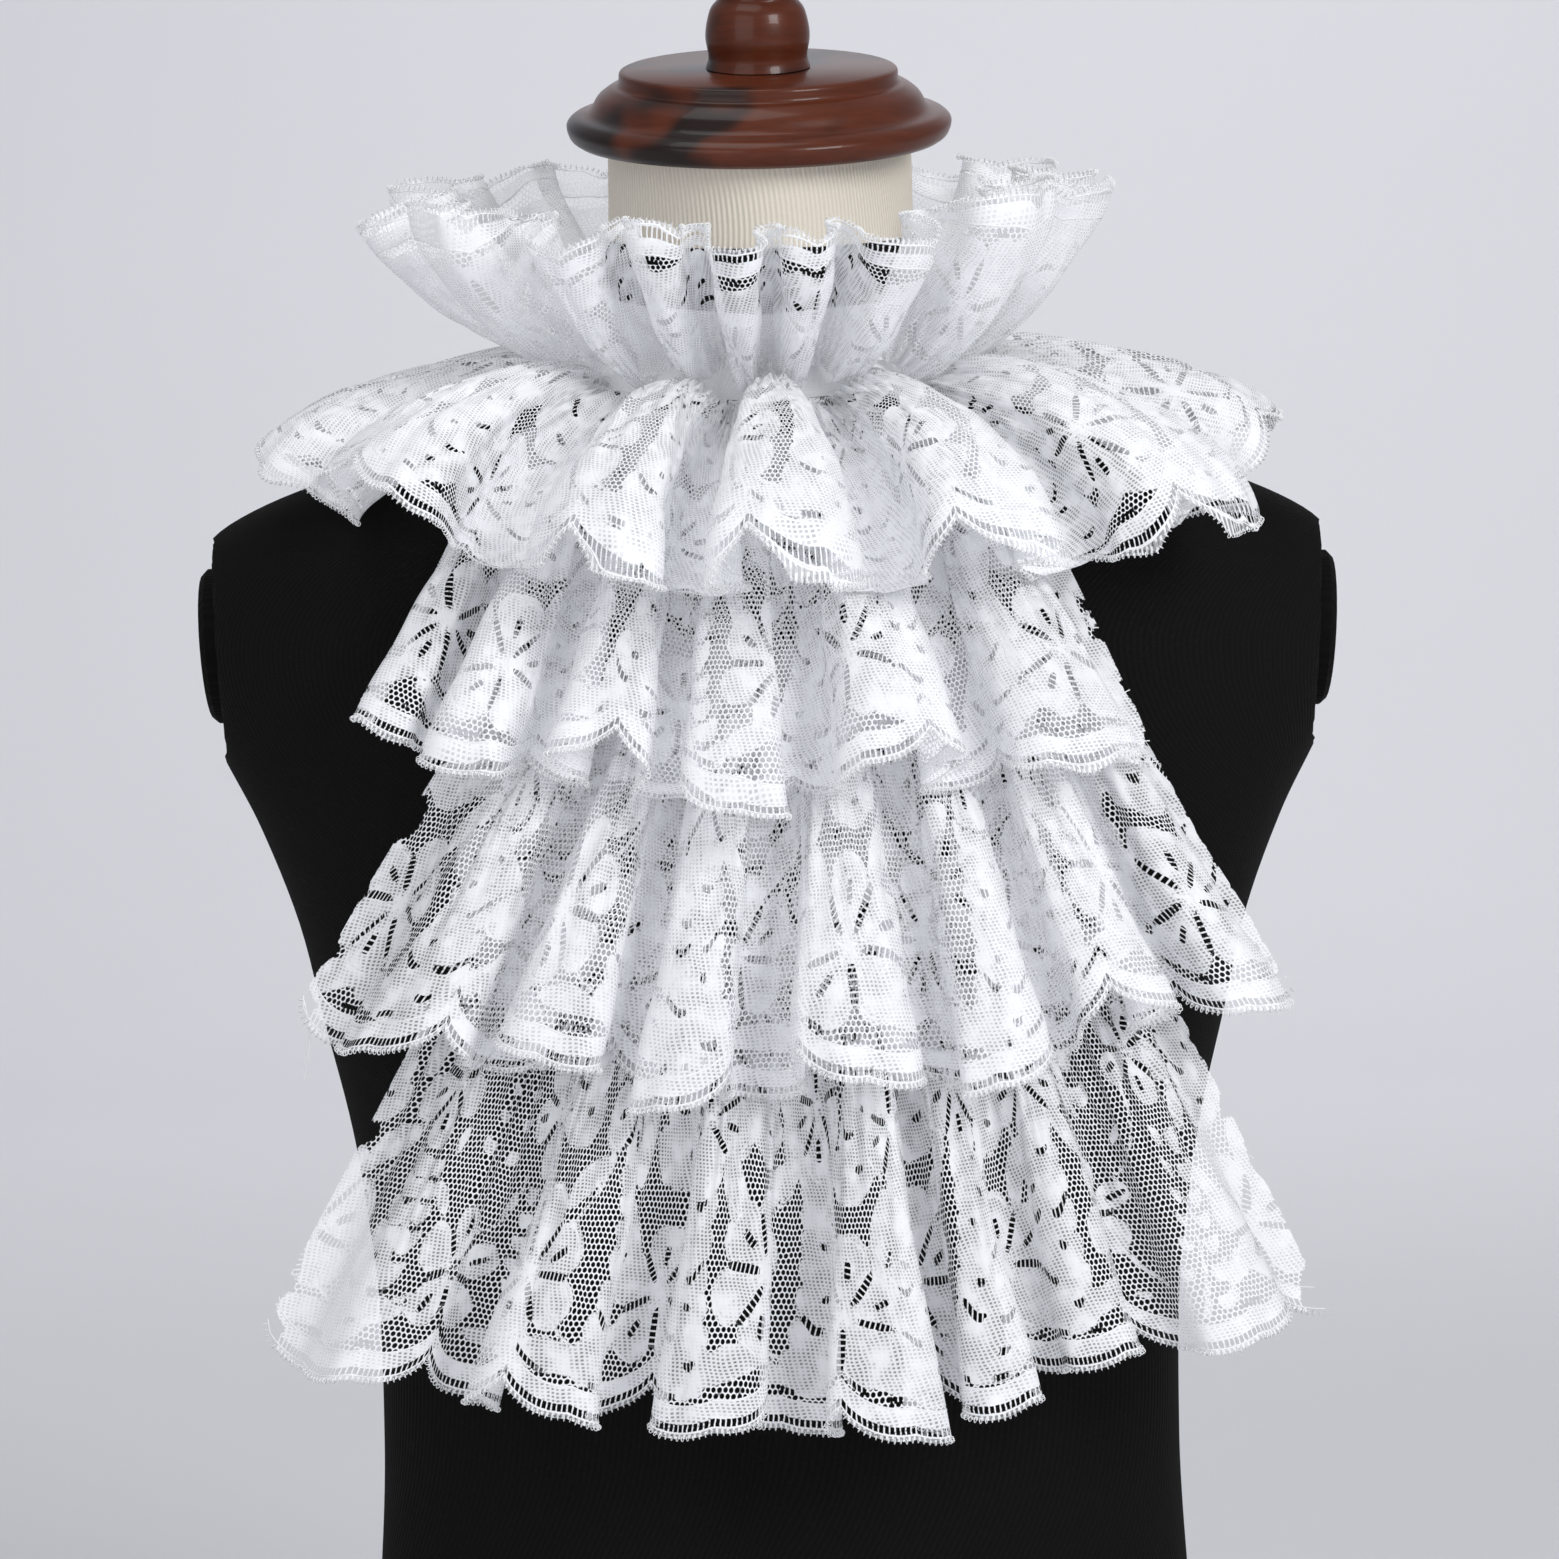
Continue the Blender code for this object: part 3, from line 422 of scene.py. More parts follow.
def chest(across, height):
    """How far the form's front stands out, at a place across it and a height."""
    half_width, front, _, squareness = form_section(height)
    share = np.clip(np.abs(across) / half_width, 0, 0.999)
    return front * (1 - share**squareness) ** (1 / squareness)


def on_chest(across, height, off):
    """A point over the front of the form, off its surface along the surface's own normal."""
    across, height = np.broadcast_arrays(across, height)
    small = 1e-4
    slope_across = (chest(across + small, height) - chest(across - small, height)) / (2 * small)
    slope_up = (chest(across, height + small) - chest(across, height - small)) / (2 * small)
    normal = np.stack([-slope_across, -np.ones_like(slope_up), -slope_up], axis=-1)
    normal /= np.linalg.norm(normal, axis=-1, keepdims=True)
    return np.stack([across, -chest(across, height), height], axis=-1) + normal * off


def neck_middle():
    top = FORM_SECTIONS[-1]
    return (top["back"] - top["front"]) / 2


def neck_rise(height, depth):
    """How far the neck's tilt lifts a point of the section that belongs to a height."""
    neckness = np.clip((height - TILT_FOOT) / (FORM_SECTIONS[-1]["height"] - TILT_FOOT), 0, 1)
    return math.tan(NECK_TILT) * (depth - neck_middle()) * neckness


def form_reach(bearing, height):
    """How far the form's surface lies from the upright axis at a bearing and a height."""
    turn = np.radians(bearing)
    level = height + 0 * turn
    for _ in range(5):
        half_width, front, back, squareness = form_section(level)
        deep = np.where(np.cos(turn) > 0, front, back)
        aside, along = np.abs(np.sin(turn)) / half_width, np.abs(np.cos(turn)) / deep
        reach = (aside**squareness + along**squareness) ** (-1 / squareness)
        level = height - neck_rise(level, -reach * np.cos(turn))
    return reach


def at_bearing(bearing, reach, height):
    turn = np.radians(bearing)
    return np.stack(np.broadcast_arrays(reach * np.sin(turn), -reach * np.cos(turn), height), axis=-1)


def ring_at(rim, bearing):
    stations = column(rim, "bearing")
    reach = smooth_curve(stations, column(rim, "reach"), bearing)
    return at_bearing(bearing, reach, smooth_curve(stations, column(rim, "height"), bearing))


def band_at(bearing, up, off=0.0):
    """A point of the neck band: how far up from its foot, and how far off its own middle surface."""
    foot = smooth_curve(column(BAND_FOOT, "bearing"), column(BAND_FOOT, "height"), np.abs(bearing))
    height = foot + up
    return at_bearing(bearing, form_reach(bearing, height) + BAND_CLEAR + CLOTH / 2 + off, height)


def form_rings(heights, sides, shrink=0.0):
    """Rings of the dress form at the heights given, each drawn in by shrink."""
    height = np.asarray(heights)[:, None]
    half_width, front, back, squareness = form_section(height)
    turn = np.linspace(0, 2 * math.pi, sides, endpoint=False)[None, :]
    power = 2 / squareness
    across = (half_width - shrink) * np.sign(np.cos(turn)) * np.abs(np.cos(turn)) ** power
    deep = np.where(np.sin(turn) < 0, front, back) - shrink
    depth = deep * np.sign(np.sin(turn)) * np.abs(np.sin(turn)) ** power
    past = np.maximum(np.abs(height - ARM_PLANE["height"]) - ARM_PLANE["half"], 0)
    cut = ARM_PLANE["out"] + (height - ARM_PLANE["height"]) * ARM_PLANE["lean"] + past * ARM_PLANE["swell"]
    across = np.clip(across, -cut, cut)
    return np.stack([across, depth, height + neck_rise(height, depth)], axis=-1)


def through_folds(values, phases, low=None, high=None):
    """A value given at each crest, carried smoothly along the ruffle; troughs lie half way between."""
    troughs = (values[1:] + values[:-1]) / 2
    knots = np.empty(2 * len(values) + 1)
    knots[1::2] = values
    knots[2:-1:2] = troughs
    knots[0] = values[0] if low is None else low
    knots[-1] = values[-1] if high is None else high
    return smooth_curve(math.pi * np.arange(-1, 2 * len(values)), knots, phases)


def hem_notch(along, pitch, depth):
    """How far the scalloped hem is cut back, at a distance along it."""
    return depth * (1 - np.abs(np.sin(math.pi * along / pitch)) ** SCALLOP_POWER)


def ring_mean(foot, rim, leave, fall, arch):
    """The mean surface of a ruffle round the neck, open at the back."""

    def mean(along, down):
        bearing = (2 * along - 1) * (180 - BACK_SLIT)
        inner, outer = foot(bearing), ring_at(rim, bearing)
        spread = 1 - np.maximum(1 - down, 0) ** leave
        climb = np.sign(down) * np.abs(down) ** fall
        lift = arch * np.sin(math.pi * np.clip(down, 0, 1))
        flat = inner[..., :2] + (outer - inner)[..., :2] * spread[..., None]
        tall = inner[..., 2] + (outer - inner)[..., 2] * climb + lift
        return np.concatenate([flat, np.broadcast_to(tall, flat.shape[:-1])[..., None]], axis=-1)

    return mean


def on_band(up, swing):
    """A ring of the band's outer face that a ruffle's head lies on."""
    off = CLOTH / 2 + 2 * SEAM_GAP + CLOTH / 2 + swing

    def foot(bearing):
        return band_at(bearing, up, off)

    return foot


def tier_mean(tier):
    """The mean surface of a bib tier: it leaves the bib at its head and hangs out over the tier below."""
    head_off = BIB["clear"] + CLOTH + 2 * SEAM_GAP + CLOTH / 2 + TIER_HEAD_SWING

    def mean(along, down):
        across_head = -tier["head_left"] + (tier["head_left"] + tier["head_right"]) * along
        across_hem = -tier["hem_left"] + (tier["hem_left"] + tier["hem_right"]) * along
        side = (across_hem / np.where(across_hem < 0, tier["hem_left"], tier["hem_right"])) ** 2
        rise = np.where(across_hem < 0, tier["rise_left"], tier["rise_right"]) * side
        head = on_chest(across_head, tier["head"], head_off)
        leave = 1 - np.maximum(1 - down, 0) ** tier["leave"]
        x = head[..., 0] + (across_hem - head[..., 0]) * down
        z = head[..., 2] + (tier["hem"] + rise - head[..., 2]) * down
        hung = -head[..., 1] + (tier["out"] - tier["sweep"] * side + head[..., 1]) * leave
        rested = chest(x, z) + head_off + TIER_REST * np.clip(down, 0, 1) ** FOLD_GROWTH
        out = (hung + rested + np.sqrt((hung - rested) ** 2 + TIER_BLEND**2 * down**2)) / 2
        return np.stack([x, -out, z], axis=-1)

    return mean


class Ruffle:
    """One gathered strip of lace as a fine sheet, with its flat place kept for the lace's pattern."""

    def __init__(self, name, mean, crests, folds, sizes):
        self.name, self.mean, self.folds, self.crests = name, mean, folds, crests
        self.side = -1 if name == "lace_ruff" else 1
        self.strip, self.swing, self.growth, self.pitch, self.notch, self.fine, self.seed = sizes

    def folded(self, phases, down):
        """Points of the sheet with its listed folds, as the solid has them."""
        along = through_folds(self.crests, phases, 0.0, 1.0)[None, :]
        names = ("wide", "over", "lean")
        swing = {n: through_folds(column(self.folds, n), phases)[None, :] for n in names}
        deep = through_folds(column(self.folds, "depth"), phases, END_DEPTH, END_DEPTH)[None, :]
        here = self.mean(along, down)
        sideways = self.mean(along + STEP_ALONG, down) - self.mean(along - STEP_ALONG, down)
        downward = self.mean(along, down + STEP_DOWN) - self.mean(along, down - STEP_DOWN)
        sideways /= np.linalg.norm(sideways, axis=-1, keepdims=True)
        outward = self.side * np.cross(downward, sideways)
        outward /= np.linalg.norm(outward, axis=-1, keepdims=True)
        grown = np.clip(down, 0, 1.2)
        crest = (self.swing + (deep - self.swing) * grown**self.growth) * np.cos(phases)
        aside = swing["over"] * np.sin(2 * phases) + swing["wide"] * np.sin(phases)
        aside = (aside + swing["lean"] * np.cos(phases)) * grown**OVER_GROWTH
        return here + outward * crest[..., None] + sideways * aside[..., None]

    def build(self):
        """Works out the grid: points, and for each the distance along and up the flat strip."""
        count = len(self.crests)
        phases = np.linspace(-math.pi, (2 * count - 1) * math.pi, count * FOLD_SAMPLES + 1)
        hem = self.folded(phases, np.ones((1, 1)))[0]
        run = np.concatenate([[0], np.cumsum(np.linalg.norm(np.diff(hem, axis=0), axis=1))])
        self.length = float(run[-1])
        columns = int(self.length / self.fine)
        along = np.linspace(0, self.length, columns + 1)
        phases = np.interp(along, run, phases)
        drop = through_folds(column(self.folds, "drop"), phases)
        lobes = LOBE_DEPTH * (1 - np.abs(np.sin(3 * math.pi * along / self.pitch)) ** LOBE_POWER)
        if self.notch <= DEEP_SCALLOP:
            lobes = lobes * FAINT_LOBES
        notch = hem_notch(along, self.pitch, self.notch) + lobes
        self.notched = float(np.mean(notch))
        rows = int(self.strip / self.fine)
        share = np.linspace(0, 1, rows + 1)[:, None]
        down = share * (1 + (drop - notch) / self.strip)[None, :]
        points = self.folded(phases, down)
        points = self.gathered(points, along[None, :] + 0 * share, down)
        self.points = points
        self.flat_along = np.broadcast_to(along[None, :], down.shape)
        self.flat_up = self.strip + drop[None, :] - down * self.strip
        self.edge = self.flat_up - notch[None, :]
        return self

    def gathered(self, points, along, down):
        """Adds the fine gathers of the head, soft creases and a flutter of the hem."""
        normal = np.cross(np.gradient(points, axis=0), np.gradient(points, axis=1))
        normal /= np.maximum(np.linalg.norm(normal, axis=-1, keepdims=True), 1e-12)
        run = along / GATHER_PITCH + 0.9 * soft_noise(along / 0.03, down * 1.2, self.seed)
        length = 0.16 + 0.16 * soft_noise(along / 0.013, 0 * down, self.seed + 1) ** 2
        held = GATHER_DEPTH * np.minimum(down / 0.03, 1) * np.exp(-down / length)
        pleat = held * np.sin(2 * math.pi * run)
        midway = np.exp(-((down - 0.45) ** 2) / 0.10)
        long_crease = soft_noise(along / 0.011, down * 1.1, self.seed + 2) * midway
        slant = soft_noise(along / 0.03 + 2.0 * down, down * 4.0, self.seed + 3) * np.minimum(down * 2, 1)
        wander = 2 * soft_noise(along / 0.05, 0 * down, self.seed + 4)
        flutter = np.sin(2 * math.pi * along / FLUTTER_PITCH + wander)
        lift = pleat + CREASE_DEPTH * long_crease + SLANT_DEPTH * slant
        lift = lift + FLUTTER_DEPTH * flutter * np.clip(down, 0, 1.1) ** 5
        return points + normal * lift[..., None]

    def frays(self):
        """Short loose threads that stick out of a tier's raw right end, as lines."""
        if not self.name.startswith("lace_tier"):
            return []
        chance = np.random.default_rng(int(self.seed))
        lines = []
        for row in chance.integers(6, len(self.points) - 2, 8):
            start = self.points[row, -3]
            way = self.points[row, -1] - start
            way = way / np.linalg.norm(way) + chance.normal(0, 0.3, 3)
            reach = np.linspace(0, chance.uniform(0.0012, 0.0034), 4)[:, None]
            lines.append(start + way * reach - np.array([0, 0, 60.0]) * reach**2)
        return lines

    def line(self, up, step):
        """A line along the strip at a distance up from its cut edge, as points."""
        share = np.clip((self.edge - up) / np.maximum(self.edge[:1] - self.edge[-1:], 1e-9), 0, 1)
        rows = np.argmax(self.edge <= up + 1e-9, axis=0)
        rows = np.where(self.edge[-1] > up, len(share) - 1, np.maximum(rows, 1))
        columns = np.arange(self.points.shape[1])
        upper, lower = self.edge[rows - 1, columns], self.edge[rows, columns]
        mix = np.clip((upper - up) / np.maximum(upper - lower, 1e-9), 0, 1)[:, None]
        line = self.points[rows - 1, columns] * (1 - mix) + self.points[rows, columns] * mix
        return line[::step]


def ring_crests(folds):
    return (column(folds, "bearing") / (180 - BACK_SLIT) + 1) / 2


def ruff_ruffle():
    foot = on_band(RUFF_UP, RUFF_SWING - 3 * SEAM_GAP)
    mean = ring_mean(foot, RUFF_TOP, RUFF_LEAVE, RUFF_FALL, 0.0)
    sizes = (RUFF_STRIP, RUFF_SWING, RUFF_GROWTH, RUFF_PITCH, RUFF_NOTCH, FINE, 1.0)
    return Ruffle("lace_ruff", mean, ring_crests(RUFF_FOLDS), RUFF_FOLDS, sizes).build()


def cape_ruffle():
    mean = ring_mean(on_band(CAPE_UP, RING_SWING), CAPE_HEM, CAPE_LEAVE, CAPE_FALL, CAPE_ARCH)
    sizes = (CAPE_STRIP, RING_SWING, FOLD_GROWTH, SCALLOP_PITCH, SCALLOP_DEPTH, CAPE_FINE, 2.0)
    return Ruffle("lace_cape", mean, ring_crests(CAPE_FOLDS), CAPE_FOLDS, sizes).build()


def tier_ruffle(name):
    tier, folds = TIERS[name], TIER_FOLDS[name]
    crests = (column(folds, "right") + tier["hem_left"]) / (tier["hem_left"] + tier["hem_right"])
    seed = 3.0 + list(TIERS).index(name)
    sizes = (STRIP, TIER_HEAD_SWING, FOLD_GROWTH, SCALLOP_PITCH, SCALLOP_DEPTH, FINE, seed)
    return Ruffle("lace_" + name, tier_mean(tier), crests, folds, sizes).build()


def wrapped(across, middle):
    """Millimetres from a motif's middle to a point, over the nearest repeat."""
    return (across - middle + REPEAT_WIDTH / 2) % REPEAT_WIDTH - REPEAT_WIDTH / 2


def turned(x, y, turn):
    """A place as seen from axes turned by some degrees."""
    c, s = math.cos(math.radians(turn)), math.sin(math.radians(turn))
    return x * c + y * s, y * c - x * s


def oval_inside(x, y, row, pointed):
    """How far a point lies inside a turned oval, in millimetres; past its rim it is negative."""
    run, off = turned(x, y, row["turn"])
    a, b = np.abs(run) / row["long"], np.abs(off) / row["broad"]
    return (1 - (a**pointed + b**pointed) ** (1 / pointed)) * row["broad"]


def bowed_place(x, y, line):
    """A place as run along a bowed line from its middle and distance off it, with the line's length."""
    (x0, y0), (x1, y1) = line["from"], line["to"]
    length = math.hypot(x1 - x0, y1 - y0)
    lean = math.degrees(math.atan2(y1 - y0, x1 - x0))
    run, off = turned(wrapped(x, (x0 + x1) / 2), y - (y0 + y1) / 2, lean)
    return run, off - line["bow"] * (1 - (2 * run / length) ** 2), length


class LacePattern:
    """The lace's figures at each point of a strip.

    motif is how far inside a close-worked figure the point lies and cord how far from a raised thread, both
    in millimetres. slit is the distance off the nearest ladder of bars in half widths, and slit_run the
    millimetres along it.
    """

    def __init__(self, along, up, seed, fuller):
        bend = soft_noise(along / 0.045, up / 0.05, seed), soft_noise(along / 0.05, up / 0.04, seed + 9)
        self.x = along * 1000 + 3.5 * bend[0] + 23 * seed
        self.y = (up * 1000 + 3.0 * bend[1] * np.clip(up / 0.03 - 0.5, 0, 1)) % REPEAT_HEIGHT
        shape = self.x.shape
        self.fuller = fuller
        self.motif, self.cord = np.full(shape, -FAR), np.full(shape, FAR)
        self.slit, self.slit_run = np.full(shape, FAR), np.zeros(shape)

    def place(self, row):
        return wrapped(self.x, row["across"]), self.y - row["up"]

    def add_figure(self, inside):
        self.motif = np.maximum(self.motif, inside + self.fuller)

    def add_slit(self, off, run, low, high):
        """A ladder between two places along its run, which narrows to both ends."""
        share = (run - (low + high) / 2) / ((high - low) / 2)
        half = SLIT_HALF * np.maximum(1 - share**4, 0.001) ** 0.5
        scaled = np.where(np.abs(share) < 1, np.abs(off) / half, FAR)
        nearer = scaled < self.slit
        self.slit = np.where(nearer, scaled, self.slit)
        self.slit_run = np.where(nearer, run, self.slit_run)

    def add_flower(self, row):
        """Petals round a heart, with a ladder between each two and another down every other petal."""
        dx, dy = self.place(row)
        reach, half_step = row["reach"], 180 / row["petals"]
        oval = {"turn": 0, "long": row["long"], "broad": row["broad"]}
        for petal in range(row["petals"]):
            turn = row["turn"] + 2 * half_step * petal
            run, off = turned(dx, dy, turn)
            inside = oval_inside(run - reach, off * (1.25 - 0.25 * np.clip(run / reach, 0, 2)), oval, 2.4)
            self.add_figure(inside)
            self.cord = np.where(inside > -1, np.minimum(self.cord, np.abs(inside - 0.4)), self.cord)
            if petal % 2 == 0:
                self.add_slit(off + 0.6, run, reach * HEART_LADDER["from"], reach * HEART_LADDER["to"])
            run, off = turned(dx, dy, turn + half_step)
            self.add_slit(off, run, reach * PETAL_LADDER["from"], reach * PETAL_LADDER["to"])
        self.add_figure(3.0 - np.hypot(dx, dy))

    def add_spray(self, row):
        """A bowed stem with lobes to both sides, which lean up and shorten to the tip."""
        run, off, length = bowed_place(self.x, self.y, row)
        inside_stem = row["stem"] * (1.15 - run / length) - np.abs(off)
        self.add_figure(np.where(np.abs(run) < length / 2, inside_stem, -FAR))
        pitch = length / row["lobes"]
        for lobe in range(row["lobes"]):
            long = row["long"] * (1 - 0.35 * lobe / row["lobes"]) / 2
            middle = (lobe + 0.5) * pitch - length / 2
            for side in (-1, 1):
                out = side * off
                lean = run - middle - 0.28 * out - 1.2 * np.cos(out * math.pi / long)
                oval = {"turn": 0, "long": long, "broad": row["broad"]}
                self.add_figure(oval_inside(out - long, lean, oval, 3.0))
                if lobe and (7 * lobe + 4 * side + row["long"]) % 5 > 1:
                    bowed = 0.9 * side * math.sin(2.1 * lobe + row["bow"])
                    gap = lean + pitch / 2 + bowed * np.sin(out * math.pi / long)
                    self.add_slit(gap, out, row["stem"], (1.5 + 0.5 * math.sin(3.7 * lobe)) * long)

    def add_leaf(self, row):
        run, off = turned(*self.place(row), row["turn"])
        bowed = off - 0.12 * row["long"] * (1 - (run / row["long"]) ** 2)
        self.add_figure(oval_inside(run, bowed, {**row, "turn": 0}, 1.7))

    def add_cord(self, line):
        run, off, length = bowed_place(self.x, self.y, line)
        off = np.where(np.abs(run) < length / 2, np.abs(off), FAR)
        self.motif = np.maximum(self.motif, 0.7 - off)
        self.cord = np.minimum(self.cord, off)

    def fields(self):
        makers = (
            (FLOWERS, self.add_flower),
            (SPRAYS, self.add_spray),
            (LEAVES, self.add_leaf),
            (CORDS, self.add_cord),
        )
        for rows, maker in makers:
            for row in rows:
                maker(row)
        fields = {"motif": self.motif, "cord": self.cord, "slit": self.slit}
        clipped = {name: np.clip(field, -4, 4) for name, field in fields.items()}
        return {**clipped, "slit_run": self.slit_run}


class Value:
    """A socket that works in Python expressions and adds Math nodes for them."""

    def __init__(self, shading, socket):
        self.shading, self.socket = shading, socket

    def math(self, operation, *others):
        return self.shading.math(operation, self, *others)

    def __add__(self, other):
        return self.math("ADD", other)

    def __sub__(self, other):
        return self.math("SUBTRACT", other)

    def __rsub__(self, other):
        return self.shading.math("SUBTRACT", other, self)

    def __mul__(self, other):
        return self.math("MULTIPLY", other)

    def __truediv__(self, other):
        return self.math("DIVIDE", other)

    def __mod__(self, other):
        return self.math("FLOORED_MODULO", other)

    __radd__, __rmul__ = __add__, __mul__


class Shading:
    """A material's node tree, with one method for each kind of step."""

    def __init__(self, name, colour, roughness):
        self.material = bpy.data.materials.new(name)
        self.material.use_nodes = True
        self.tree = self.material.node_tree
        self.shader = self.tree.nodes["Principled BSDF"]
        self.shader.inputs["Base Color"].default_value = (*colour, 1.0)
        self.shader.inputs["Roughness"].default_value = roughness

    def node(self, kind, settings=None, inputs=None):
        """Adds a node, sets it up and then feeds its sockets with numbers or links."""
        made = self.tree.nodes.new(kind)
        for name, value in (settings or {}).items():
            setattr(made, name, value)
        for name, value in (inputs or {}).items():
            self.feed(made.inputs[name], value)
        return made

    def feed(self, socket, value):
        if isinstance(value, Value):
            self.tree.links.new(value.socket, socket)
        elif isinstance(value, bpy.types.NodeSocket):
            self.tree.links.new(value, socket)
        else:
            socket.default_value = value

    def math(self, operation, *values):
        inputs = dict(enumerate(values))
        return Value(self, self.node("ShaderNodeMath", {"operation": operation}, inputs).outputs[0])

    def attribute(self, name):
        return Value(self, self.node("ShaderNodeAttribute", {"attribute_name": name}).outputs["Fac"])

    def object_place(self):
        return self.node("ShaderNodeTexCoord").outputs["Object"]

    def parts(self, vector):
        split = self.node("ShaderNodeSeparateXYZ", inputs={0: vector})
        return [Value(self, socket) for socket in split.outputs]

    def join(self, x, y, z):
        return self.node("ShaderNodeCombineXYZ", inputs={0: x, 1: y, 2: z}).outputs[0]

    def step(self, value, low, high):
        """0 below low, 1 above high and smooth between; the two may be given the other way round."""
        settings = {"interpolation_type": "SMOOTHSTEP"}
        inputs = {"Value": value, "From Min": low, "From Max": high}
        return Value(self, self.node("ShaderNodeMapRange", settings, inputs).outputs[0])

    def close_to(self, value, middle, far, near):
        """1 where a value is near a middle, 0 where it is far from it and smooth between."""
        return self.step((value - middle).math("ABSOLUTE"), far, near)

    def wave(self, value, pitch):
        """A wave between 0 and 1 that repeats at a pitch."""
        return (value * (2 * math.pi / pitch)).math("SINE") * 0.5 + 0.5

    def tint(self, factor, first, second):
        """Colours the surface between two colours."""
        self.feed(self.shader.inputs["Base Color"], self.blend(factor, first, second))

    def noise(self, vector, scale, detail=2.0, roughness=0.5):
        inputs = {"Vector": vector, "Scale": scale, "Detail": detail, "Roughness": roughness}
        return Value(self, self.node("ShaderNodeTexNoise", inputs=inputs).outputs["Fac"])

    def blend(self, factor, first, second):
        """A colour between two colours."""
        mix = self.node("ShaderNodeMix", {"data_type": "RGBA"})
        self.feed(mix.inputs[0], factor)
        for socket, colour in ((mix.inputs[6], first), (mix.inputs[7], second)):
            self.feed(socket, (*colour, 1.0) if isinstance(colour, tuple) else colour)
        return mix.outputs[2]

    def bump(self, height, distance, strength=1.0):
        inputs = {"Height": height, "Distance": distance, "Strength": strength}
        self.feed(self.shader.inputs["Normal"], self.node("ShaderNodeBump", inputs=inputs).outputs[0])


def lace_material(colours):
    """White net lace: round-holed net, close-worked figures, ladders of bars and a worked hem."""
    shading = Shading("lace", tuple(colours.lace), 0.62)
    shading.shader.inputs["Specular IOR Level"].default_value = 0.3
    # Painted light: the lace glows faintly, standing in for light that passes through it and fills its folds
    shading.shader.inputs["Emission Color"].default_value = (0.93, 0.95, 1.0, 1.0)
    shading.shader.inputs["Emission Strength"].default_value = LACE_PAINTED_GLOW
    along, up, edge = (shading.attribute(name) for name in ("along", "up", "edge"))
    motif, cord_off, end = (shading.attribute(name) for name in ("motif", "cord", "end"))
    slit_off, slit_run = shading.attribute("slit"), shading.attribute("slit_run")
    place = shading.join(along, up, 0.0)
    wander = shading.noise(place, 0.10, 1.0)
    x, y = along + wander * 2.2, up + wander * 1.7
    net = net_cover(shading, x, y)
    patches = shading.noise(place, 0.11, 2.0)
    frayed = shading.noise(place, 0.42, 1.0) - 0.5
    row = (y % CLOSE_ROW) / CLOSE_ROW
    brick = ((x + (y / CLOSE_ROW).math("FLOOR") * 0.35) % CLOSE_BRICK) / CLOSE_BRICK
    pinhole = shading.close_to(row, 0.5, 0.36, 0.16) * shading.close_to(brick, 0.5, 0.34, 0.20)
    cloth = CLOSE_WORK + patches * 0.34 - pinhole * shading.step(patches, 0.66, 0.40) * 0.55
    figure = shading.step(motif + frayed * 1.3, -0.25, 0.15)
    covered = net * (1 - figure) + cloth * figure
    cord = shading.step(cord_off, 0.55, 0.25) * shading.step(motif, -0.6, 0.0)
    covered = covered.math("MAXIMUM", cord * 0.92)
    bars = shading.close_to(slit_run % BAR_PITCH, BAR_MIDDLE, 0.62, 0.78)
    slit = shading.step(slit_off + frayed * 0.5, 1.08, 0.92) * (1 - bars)
    covered = covered * (1 - slit * shading.step(motif, -2.0, 0.5))
    stitch = (along + frayed * 0.8) % STITCH_PITCH
    bar = shading.close_to(stitch, STITCH_MIDDLE, 0.58, 0.74)
    worn = shading.noise(shading.join(along, 0.0, 0.0), 0.07, 1.0)
    ladder = shading.step((edge - HEM_LADDER + frayed * 0.6).math("ABSOLUTE"), 1.3, 1.05) * (1 - bar)
    second = shading.close_to(edge, SECOND_LADDER, 1.15, 0.9) * (1 - bar)
    second = second * shading.step(worn, 0.5, 0.54)
    whip = shading.close_to(stitch, STITCH_MIDDLE, 0.34, 0.5) * shading.step(edge, 1.5, 1.3) * 0.6
    lines = shading.close_to(edge, UPPER_LINE, 0.5, 0.3)
    lines = lines.math("MAXIMUM", shading.close_to(edge, LOWER_LINE, 0.4, 0.25))
    hem = shading.step(edge, HEM_TOP, HEM_CLEAR)
    worked = (cloth + 0.06).math("MAXIMUM", lines)
    covered = covered * (1 - hem) + worked * hem
    covered = covered * (1 - ladder * shading.step(worn, 0.26, 0.32)) * (1 - whip) * (1 - second)
    ragged = end + motif.math("MINIMUM", 2.0) * 1.3 - shading.noise(place, 0.35, 2.0) * 5.0
    covered = covered * shading.step(ragged, -0.4, 0.1)
    shading.feed(shading.shader.inputs["Alpha"], covered.math("MINIMUM", 1.0))
    relief = figure * 0.4 + cord * 0.6 + lines * hem * 0.5 + pinhole * figure * -0.25
    shading.bump(relief, 0.0004, 0.5)
    return shading.material


def net_cover(shading, x, y):
    """Share of thread in a net of round holes set in a triangle pattern."""
    tall = NET_CELL * math.sqrt(3)
    ax, ay = x % NET_CELL - NET_CELL / 2, y % tall - tall / 2
    bx, by = (x + NET_CELL / 2) % NET_CELL - NET_CELL / 2, (y + tall / 2) % tall - tall / 2
    near = (ax * ax + ay * ay).math("MINIMUM", bx * bx + by * by).math("SQRT")
    return shading.step(near, NET_CELL * 0.345, NET_CELL * 0.44) * 0.92


def plain_material(name, colour, roughness):
    return Shading(name, colour, roughness).material


